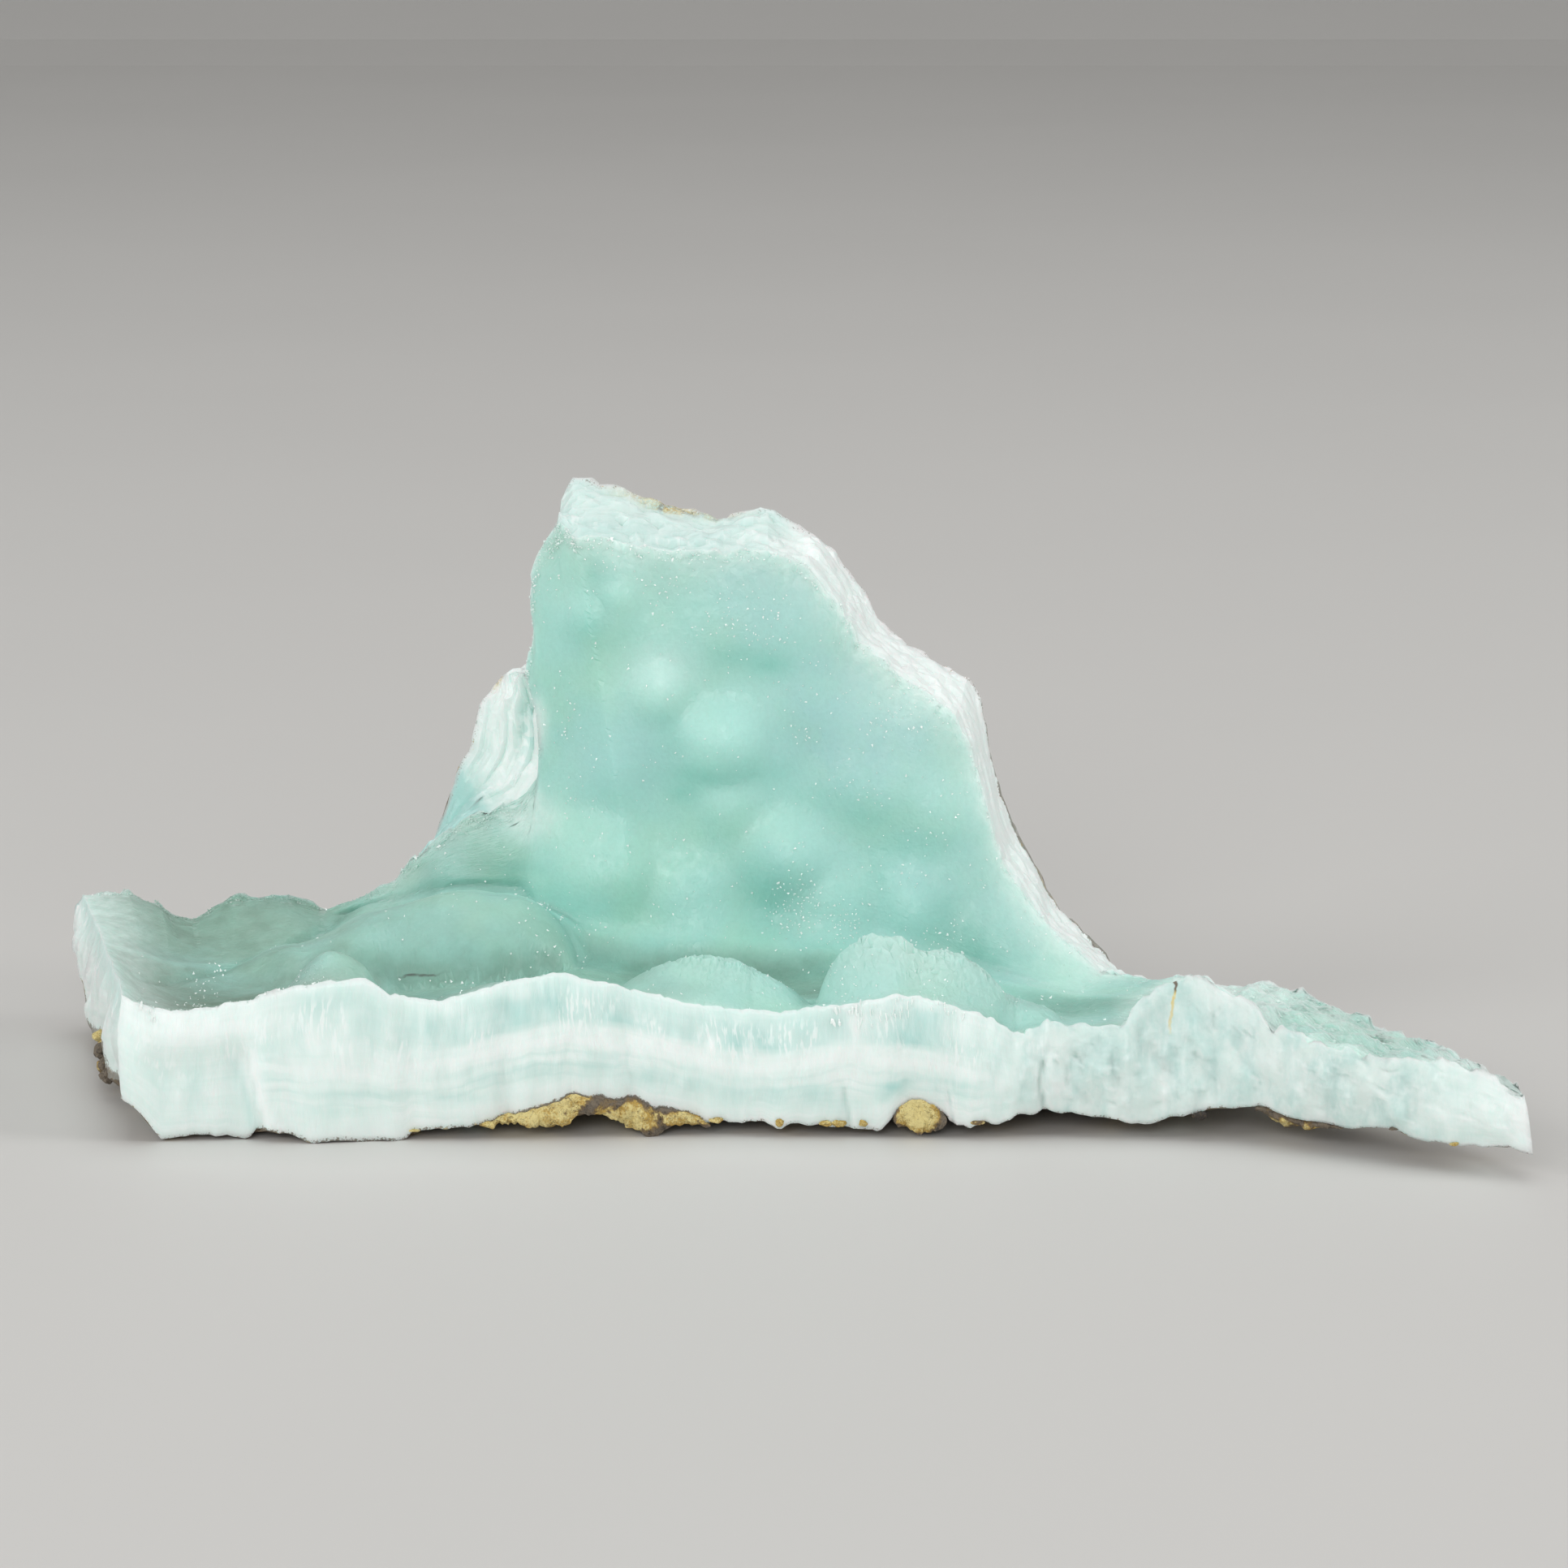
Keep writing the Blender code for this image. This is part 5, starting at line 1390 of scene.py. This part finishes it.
def fracture_material(groups, hues, radius):
    """The broken faces: silky fibres, milky and aqua, with a thin brown vein."""
    made, tree, shader, place = new_material("Fracture")
    found = place_group(tree, groups["fibre"], Fibre=read(tree, "fibre", "Vector"))
    streaks = found["Streaks"]
    aqua = read(tree, "aqua")
    grainy = read(tree, "grainy")
    patchy = fade(tree, clouds(tree, place, 170.0, 2.0, 0.5), 0.40, 0.62)
    bands = times(tree, found["Bands"], fade(tree, patchy, 0.0, 1.0, 0.35, 0.75))
    bands = times(tree, bands, fade(tree, grainy, 0.0, 1.0, 1.0, 0.15))
    base = tint(tree, bands, hues.front, hues.milk)
    part = times(tree, streaks, fade(tree, patchy, 0.0, 1.0, 0.10, 0.03))
    part = times(tree, part, fade(tree, grainy, 0.0, 1.0, 1.0, 0.4))
    base = tint(tree, part, base, hues.aqua)
    mottle = clouds(tree, stretched(tree, place, 1.0, 1.0, 0.5), 480.0, 5.0, 0.65)
    mottle = times(tree, fade(tree, mottle, 0.38, 0.66), fade(tree, grainy, 0.0, 1.0, 0.10, 0.75))
    base = tint(tree, mottle, base, hues.aqua)
    strong = times(tree, aqua, fade(tree, streaks, 0.0, 1.0, 0.85, 1.08), True)
    base = tint(tree, strong, base, hues.aqua)
    # Growth lines run beside the milky band, at these distances above it.
    waver = fade(tree, clouds(tree, place, 400.0, 3.0), 0.3, 0.7, -0.22, 0.22)
    above = plus(tree, read(tree, "from_band"), waver)
    seen = fade(tree, clouds(tree, place, 110.0, 2.0), 0.36, 0.58, 0.25, 1.0)
    seen = times(tree, read(tree, "banded"), seen)
    for middle, half, amount, line_hue in GROWTH_LINES:
        span = apart(tree, above, middle)
        line = times(tree, fade(tree, span, half * 0.4, half, amount, 0.0), seen)
        base = tint(tree, line, base, getattr(hues, line_hue))
    combs = times(tree, found["Combs"], fade(tree, grainy, 0.0, 1.0, 0.75, 0.3))
    base = tint(tree, combs, base, hues.milk)
    base = tint(tree, fade(tree, aqua, 0.65, 1.1, 0.0, 0.6), base, hues.aqua_deep)
    hazy = times(tree, read(tree, "milk"), fade(tree, streaks, 0.0, 1.0, 1.1, 0.7), True)
    base = tint(tree, hazy, base, hues.milk)
    stain = place_group(tree, groups["film"], Position=place, Yellow=0.7, Grain=1.6)
    rust = times(tree, read(tree, "rust"), fade(tree, stain["Height"], 0.55, 0.85, 0.1, 1.0))
    base = tint(tree, rust, base, stain["Color"])
    # The dark film; along the front's lower edge it is partly a painted shadow line.
    film = place_group(tree, groups["film"], Position=place, Yellow=0.12, Grain=1.2)
    mark = read(tree, "film")
    ragged = plus(tree, mark, fade(tree, film["Height"], 0.5, 1.0, -0.35, 0.35))
    covered = times(tree, fade(tree, ragged, 0.35, 0.6), fade(tree, mark, 0.02, 0.2))
    base = tint(tree, times(tree, covered, 0.85), base, film["Color"])
    base = vein(tree, place, base, hues)
    base = scaled(tree, base, fade(tree, grainy, 0.0, 1.0, 1.0, 0.90))
    coat(tree, shader, base, fade(tree, streaks, 0.0, 1.0, 0.38, 0.56))
    crystal = clouds(tree, place, 1300.0, 1.5, 0.5)
    share = fade(tree, grainy, 0.0, 1.0, 0.35, 1.0)
    height = put(tree, "ShaderNodeMix", {0: share, 2: found["Height"], 3: crystal}).outputs[0]
    bump(tree, shader, height, 0.00025, 0.4)
    scatter_light(shader, 0.8, radius)
    return made


def vein(tree, place, base, hues):
    """A thin brown and yellow vein that climbs the cross ridge of the front."""
    axes = put(tree, "ShaderNodeSeparateXYZ", {0: place}).outputs
    height = times(tree, axes["Z"], 1 / MM)
    wobble = times(tree, clouds(tree, place, 900.0, 2.0), 0.9)
    middle = plus(tree, times(tree, height, VEIN_LEAN), wobble)
    middle = plus(tree, middle, VEIN_X - MIDDLE[0] - 0.45)
    aside = apart(tree, times(tree, axes["X"], 1 / MM), middle)
    begun = fade(tree, height, VEIN_LOW - 0.3, VEIN_LOW + 0.2)
    span = times(tree, begun, fade(tree, height, VEIN_HIGH - 0.2, VEIN_HIGH + 0.3, 1.0, 0.0))
    mask = times(tree, fade(tree, aside, 0.04, 0.15, 1.0, 0.0), span)
    mask = times(tree, mask, fade(tree, clouds(tree, place, 1400.0, 2.0), 0.36, 0.5))
    mask = times(tree, mask, fade(tree, height, VEIN_LOW, VEIN_HIGH - 0.6, 0.55, 1.0))
    upper = fade(tree, height, VEIN_HIGH - 1.0, VEIN_HIGH - 0.6)
    return tint(tree, mask, base, tint(tree, upper, hues.rock_yellow, hues.rock_grey))


def rock_side_material(groups, hues, radius):
    """The rock side: aragonite under a patchy dark and ochre film."""
    made, tree, shader, place = new_material("Rock_side")
    film = place_group(tree, groups["film"], Position=place, Yellow=0.35, Grain=0.6)
    cloudy = fade(tree, clouds(tree, place, 300.0, 3.0), 0.35, 0.65)
    bare = tint(tree, cloudy, hues.front, hues.aqua)
    cover = fade(tree, clouds(tree, place, 130.0, 5.0, 0.65, 0.5), 0.36, 0.47)
    rough = fade(tree, cover, 0.0, 1.0, 0.5, 0.85)
    coat(tree, shader, tint(tree, cover, bare, film["Color"]), rough)
    bump(tree, shader, film["Height"], 0.0002, 0.6)
    scatter_light(shader, 0.3, radius)
    return made


def rock_material(groups):
    """Host rock: crumbly iron-stained grains, yellow by the piece's own mark."""
    made, tree, shader, place = new_material("Host_rock")
    film = place_group(tree, groups["film"], Position=place, Yellow=read(tree, "yellow"), Grain=1.0)
    coat(tree, shader, film["Color"], fade(tree, film["Height"], 0.4, 1.0, 0.95, 0.7))
    bump(tree, shader, film["Height"], 0.0003, 0.8)
    return made


def plain_material(name, hue, roughness):
    """Painted board for the stage, with a very faint mottle."""
    made, tree, shader, place = new_material(name)
    mottle = fade(tree, clouds(tree, place, 9.0, 3.0), 0.3, 0.7)
    darker = [part * 0.985 for part in hue[:3]]
    tree.links.new(tint(tree, mottle, darker, hue), shader["Base Color"])
    shader["Roughness"].default_value = roughness
    return made


def shared_groups(hues):
    """The node groups, made once."""
    found = bpy.data.node_groups
    return {
        "druse": found.get("Druse colour") or druse_group(hues),
        "fibre": found.get("Fibres and bands") or fibre_group(),
        "film": found.get("Iron stain") or film_group(hues),
    }


def hue(name, told, value):
    """A colour property."""
    return bpy.props.FloatVectorProperty(
        name=name, description=told, default=value, size=3, min=0.0, max=1.0, subtype="COLOR"
    )


def amount(name, told, value, least=0.0, unit="NONE"):
    """A property that is a number."""
    return bpy.props.FloatProperty(name=name, description=told, default=value, min=least, unit=unit)


def count(name, told, value, least=1):
    """A property that is a whole number."""
    return bpy.props.IntProperty(name=name, description=told, default=value, min=least)


class AragoniteSizes(bpy.types.PropertyGroup):
    """Sizes and fineness of the piece's own details."""

    seed: count("Seed", "Start of every random draw", 7, 0)
    grain: amount("Grain width", "Width of a common crystal of the druse", 0.00030, 0.0001, "LENGTH")
    wander: amount("Light depth", "How far light wanders under the surface", 0.0011, 0.0, "LENGTH")
    wall_crystals: count("Wall crystals", "Places tried for crystals on the wall", 12000)
    floor_crystals: count("Floor crystals", "Places tried for crystals on the floor", 5000)
    tail_crystals: count("Tail crystals", "Coarse crystals of the tail", 90)


class AragoniteHues(bpy.types.PropertyGroup):
    """Colours of the aragonite, its film and its host rock."""

    druse: hue("Druse", "Common colour of the drusy side", (0.385, 0.69, 0.62))
    druse_green: hue("Druse, greener", "Second common colour of the drusy side", (0.405, 0.70, 0.59))
    druse_blue: hue("Druse, bluer", "Bluish clouds of the wall", (0.39, 0.64, 0.645))
    druse_deep: hue("Druse, deep", "Valleys between the lobes", (0.25, 0.59, 0.51))
    druse_pale: hue("Druse, pale", "Crowns of the lobes", (0.475, 0.775, 0.71))
    # On the floor this dull colour is partly painted shade.
    druse_grey: hue("Druse, dull", "Dull greenish part of the floor", (0.155, 0.24, 0.18))
    frost: hue("Frosted", "The druse close to a broken edge", (0.70, 0.85, 0.80))
    # Painted glint: the colour of the bright crystals stands for their sparkle.
    glint: hue("Glint", "Bright crystals of the druse", (0.93, 0.98, 0.96))
    front: hue("Fracture", "Common colour of the broken faces", (0.77, 0.88, 0.84))
    milk: hue("Milky", "Milky bands and edges", (0.86, 0.925, 0.90))
    aqua: hue("Aqua", "Aqua fibres of the broken faces", (0.53, 0.74, 0.70))
    aqua_deep: hue("Aqua, deep", "The few deepest spots of the broken faces", (0.36, 0.66, 0.62))
    rock_dark: hue("Rock, dark", "Darkest host rock and film", (0.045, 0.038, 0.032))
    rock_grey: hue("Rock, grey", "Grey-brown host rock", (0.19, 0.155, 0.115))
    rock_brown: hue("Rock, brown", "Brown between grey and ochre host rock", (0.22, 0.145, 0.06))
    rock_ochre: hue("Rock, ochre", "Ochre host rock", (0.52, 0.34, 0.08))
    rock_yellow: hue("Rock, yellow", "Yellow host rock", (0.78, 0.66, 0.29))


class AragoniteStage(bpy.types.PropertyGroup):
    """Floor, backdrop, lights and camera."""

    floor: hue("Floor", "Colour of the floor and backdrop", (0.63, 0.62, 0.60))
    key_power: amount("Main light", "Power of the large frontal light in watts", 4.4)
    fill_power: amount("Side lights", "Power of each side light in watts", 1.3)
    room: amount("Room light", "Brightness of the light from all round", 0.45)
    lens: amount("Lens", "Focal length in millimetres", 116.74, 1.0)


def sizes():
    """The sizes held by the scene."""
    return bpy.context.scene.aragonite_sizes


def hues():
    """The colours held by the scene."""
    return bpy.context.scene.aragonite_hues


def crystal_look():
    """The material of the crystals, made on first use."""
    found = bpy.data.materials.get("Crystals")
    return found or crystal_material(shared_groups(hues())["druse"])


def finish_piece(piece, slot, *nodes):
    """Rides the piece on the one body, and hides the imported nodes that it stands for. slot is not
    used.
    """
    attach(piece, "root")
    if nodes:
        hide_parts(*nodes)


class ARAGONITE_OT_crust(bpy.types.Operator):
    """Make the crust as one closed surface with its three finishes"""

    bl_idname = "aragonite.crust"
    bl_label = "Crust"

    def execute(self, context):
        rng = np.random.default_rng(sizes().seed)
        groups = shared_groups(hues())
        wander = sizes().wander
        stations = evenly((0, 18, 48), (18, 76, 168), (76, 100, 66))
        reaches = evenly((0, 0.30, 34), (0.30, 0.45, 14), (0.45, 1, 64))
        depths = np.linspace(0, 1, 27)
        station, reach, depth, lift, faces = block_skin(stations, reaches, depths, rng)
        point = crust(station, reach, depth)
        high = druse_height(station, reach, point, lift) * (depth == 0)
        point += facing(plain_inner, station, reach, 1) * high[:, None]
        point[:, 2] = np.maximum(point[:, 2], 0.0)
        materials = (
            druse_material(groups["druse"], hues(), wander),
            fracture_material(groups, hues(), wander),
            rock_side_material(groups, hues(), wander),
        )
        marked = marks(point, station, reach, depth)
        looks = [0] + [1] * 4 + [2] * 3
        # The front edge and the left end are rounded.
        piece = mesh_piece("crust", to_frame(point), faces, materials, marked, looks, smooth=(1, 3))
        finish_piece(piece, "aragonite", "aragonite_crust")
        return {"FINISHED"}


class ARAGONITE_OT_druse(bpy.types.Operator):
    """Make the crystals that stand out of the drusy side of wall, floor and tail"""

    bl_idname = "aragonite.druse"
    bl_label = "Druse crystals"

    def execute(self, context):
        held = sizes()
        # Name: fields of (first, last, low, high, number, scale, lean, sides, shoulder, sparse).
        fields = {
            "druse_wall": [
                (20, 75, 0.44, 0.985, held.wall_crystals, 0.48, 0.55, 4, 0.0, True),
                (28, 37.5, 0.975, 1.0, 320, 0.75, 0.4, 4, 0.0, False),
                (37, 73, 0.985, 1.0, 420, 0.7, 0.4, 4, 0.0, False),
                (16, 26, 0.90, 1.0, 260, 0.8, 0.45, 4, 0.0, False),
            ],
            "druse_floor": [
                (2, 79, 0.02, 0.46, held.floor_crystals, 0.48, 0.55, 4, 0.0, True),
                (0, 19, 0.96, 1.0, 260, 0.7, 0.5, 4, 0.0, False),
                (38, 70, 0.11, 0.31, 330, 0.65, 0.45, 4, 0.0, False),
                (1, 13, 0.0, 0.06, 420, 0.6, 0.6, 4, 0.0, False),
            ],
            "druse_tail": [
                (77, 100, 0.03, 1.0, held.tail_crystals, 0.9, 0.22, 5, 0.2, False),
                (70, 80, 0.10, 1.0, 60, 0.7, 0.25, 4, 0.0, False),
            ],
        }
        for offset, (name, rows) in enumerate(fields.items()):
            rng = np.random.default_rng(held.seed + 10 + offset)
            points, parts, marked = joined([druse_field(*row, rng) for row in rows])
            piece = mesh_piece(name, points, parts, [crystal_look()], marked)
            finish_piece(piece, "aragonite")
        return {"FINISHED"}


class ARAGONITE_OT_splinters(bpy.types.Operator):
    """Make the broken white crystals along the top of the front edge"""

    bl_idname = "aragonite.splinters"
    bl_label = "Broken crystals"

    def execute(self, context):
        rng = np.random.default_rng(sizes().seed + 20)
        points, parts, marked = joined([splinter_row(*row, rng) for row in SPLINTERS])
        piece = mesh_piece("splinters", points, parts, [crystal_look()], marked)
        finish_piece(piece, "aragonite")
        return {"FINISHED"}


class ARAGONITE_OT_rock(bpy.types.Operator):
    """Make the remnants of host rock and the crumbs that stick to the lower edge"""

    bl_idname = "aragonite.rock"
    bl_label = "Host rock"

    def execute(self, context):
        found = bpy.data.materials.get("Host_rock")
        look = found or rock_material(shared_groups(hues()))
        for node, *given in REMNANTS:
            point, faces = remnant(*given)
            yellow = spots(YELLOW_SPOTS, point[:, 0], point[:, 2], 0.8, 2.0)
            name = node.replace("host_rock", "rock")
            piece = mesh_piece(name, to_frame(point), [faces], [look], {"yellow": yellow})
            finish_piece(piece, "host_rock", node)
        for name, rows in CRUMBS.items():
            points, parts, marked = joined([crumb(*row) for row in rows])
            piece = mesh_piece(name, points, parts, [look], marked)
            finish_piece(piece, "host_rock")
        return {"FINISHED"}


def aim(piece, target):
    """Turns a light or camera so that it looks at a point."""
    piece.rotation_euler = (Vector(target) - piece.location).to_track_quat("-Z", "Y").to_euler()


def soft_light(name, place, target, size, power):
    """A square area light that looks at a point."""
    lamp = bpy.data.lights.new(name, "AREA")
    lamp.shape = "RECTANGLE"
    lamp.size, lamp.size_y = size
    lamp.energy = power
    made = bpy.data.objects.new(name, lamp)
    made.location = place
    bpy.context.scene.collection.objects.link(made)
    aim(made, target)


class ARAGONITE_OT_stage(bpy.types.Operator):
    """Make the pale floor and backdrop, the soft lights and the camera"""

    bl_idname = "aragonite.stage"
    bl_label = "Stage"

    def execute(self, context):
        scene = context.scene
        stage = scene.aragonite_stage
        # Floor and backdrop are one sheet: a profile of floor, quarter round and wall,
        # carried along x.
        turn = np.linspace(0, np.pi / 2, 13)
        line_y = [-2.5, *(BACKDROP_Y + BACKDROP_BEND * np.sin(turn)), BACKDROP_Y + BACKDROP_BEND]
        line_z = [0.0, *(BACKDROP_BEND * (1 - np.cos(turn))), 3.0]
        x, y = np.meshgrid([-3.0, 3.0], line_y, indexing="ij")
        sheet = np.stack([x, y, np.broadcast_to(line_z, x.shape)], axis=-1).reshape(-1, 3)
        faces = quads(np.arange(x.size).reshape(x.shape))
        look = plain_material("Floor", stage.floor, 0.6)
        floor = mesh_piece("floor", sheet, [faces], [look])

        for name, place, size, power in (
            ("Main_light", (-0.18, -1.0, 0.44), (0.70, 0.40), stage.key_power),
            ("Left_light", (-0.75, -0.35, 0.45), (0.35, 0.35), stage.fill_power * 1.4),
            ("Right_light", (0.78, -0.16, 0.52), (0.35, 0.35), stage.fill_power * 1.75),
            ("Top_light", (0.0, 0.22, 0.90), (0.60, 0.60), stage.fill_power * 1.25),
        ):
            soft_light(name, place, (0.0, 0.0, 0.015), size, power)

        world = bpy.data.worlds.new("Room")
        world.use_nodes = True
        shade = world.node_tree.nodes["Background"].inputs
        shade["Color"].default_value = (1.0, 1.0, 1.0, 1.0)
        shade["Strength"].default_value = stage.room
        scene.world = world

        lens = bpy.data.cameras.new("Camera")
        lens.lens = stage.lens
        lens.sensor_width = 36.0
        lens.clip_start = 0.01
        lens.clip_end = 20.0
        camera = bpy.data.objects.new("Camera", lens)
        camera.location = CAMERA_PLACE
        scene.collection.objects.link(camera)
        aim(camera, CAMERA_TARGET)
        scene.camera = camera
        scene.view_settings.view_transform = "Standard"
        return {"FINISHED"}


class ARAGONITE_PT_panel(bpy.types.Panel):
    """The piece's makers and settings"""

    bl_label = "Blue Aragonite"
    bl_idname = "ARAGONITE_PT_panel"
    bl_space_type = "VIEW_3D"
    bl_region_type = "UI"
    bl_category = "Aragonite"

    def draw(self, context):
        for maker in MAKERS:
            self.layout.operator(maker.bl_idname)
        for held in ("aragonite_sizes", "aragonite_hues", "aragonite_stage"):
            group = getattr(context.scene, held)
            box = self.layout.box()
            for label in group.__annotations__:
                box.prop(group, label)


MAKERS = (
    ARAGONITE_OT_crust,
    ARAGONITE_OT_druse,
    ARAGONITE_OT_splinters,
    ARAGONITE_OT_rock,
    ARAGONITE_OT_stage,
)
HELD = {
    "aragonite_sizes": AragoniteSizes,
    "aragonite_hues": AragoniteHues,
    "aragonite_stage": AragoniteStage,
}


def register():
    for made in (*HELD.values(), *MAKERS, ARAGONITE_PT_panel):
        bpy.utils.register_class(made)
    for name, group in HELD.items():
        setattr(bpy.types.Scene, name, bpy.props.PointerProperty(type=group))


def unregister():
    for name in HELD:
        delattr(bpy.types.Scene, name)
    for made in (ARAGONITE_PT_panel, *reversed(MAKERS), *reversed(HELD.values())):
        bpy.utils.unregister_class(made)


def main():
    register()
    bpy.ops.aragonite.crust()
    bpy.ops.aragonite.druse()
    bpy.ops.aragonite.splinters()
    bpy.ops.aragonite.rock()
    bpy.ops.aragonite.stage()


if __name__ == "__main__":
    main()
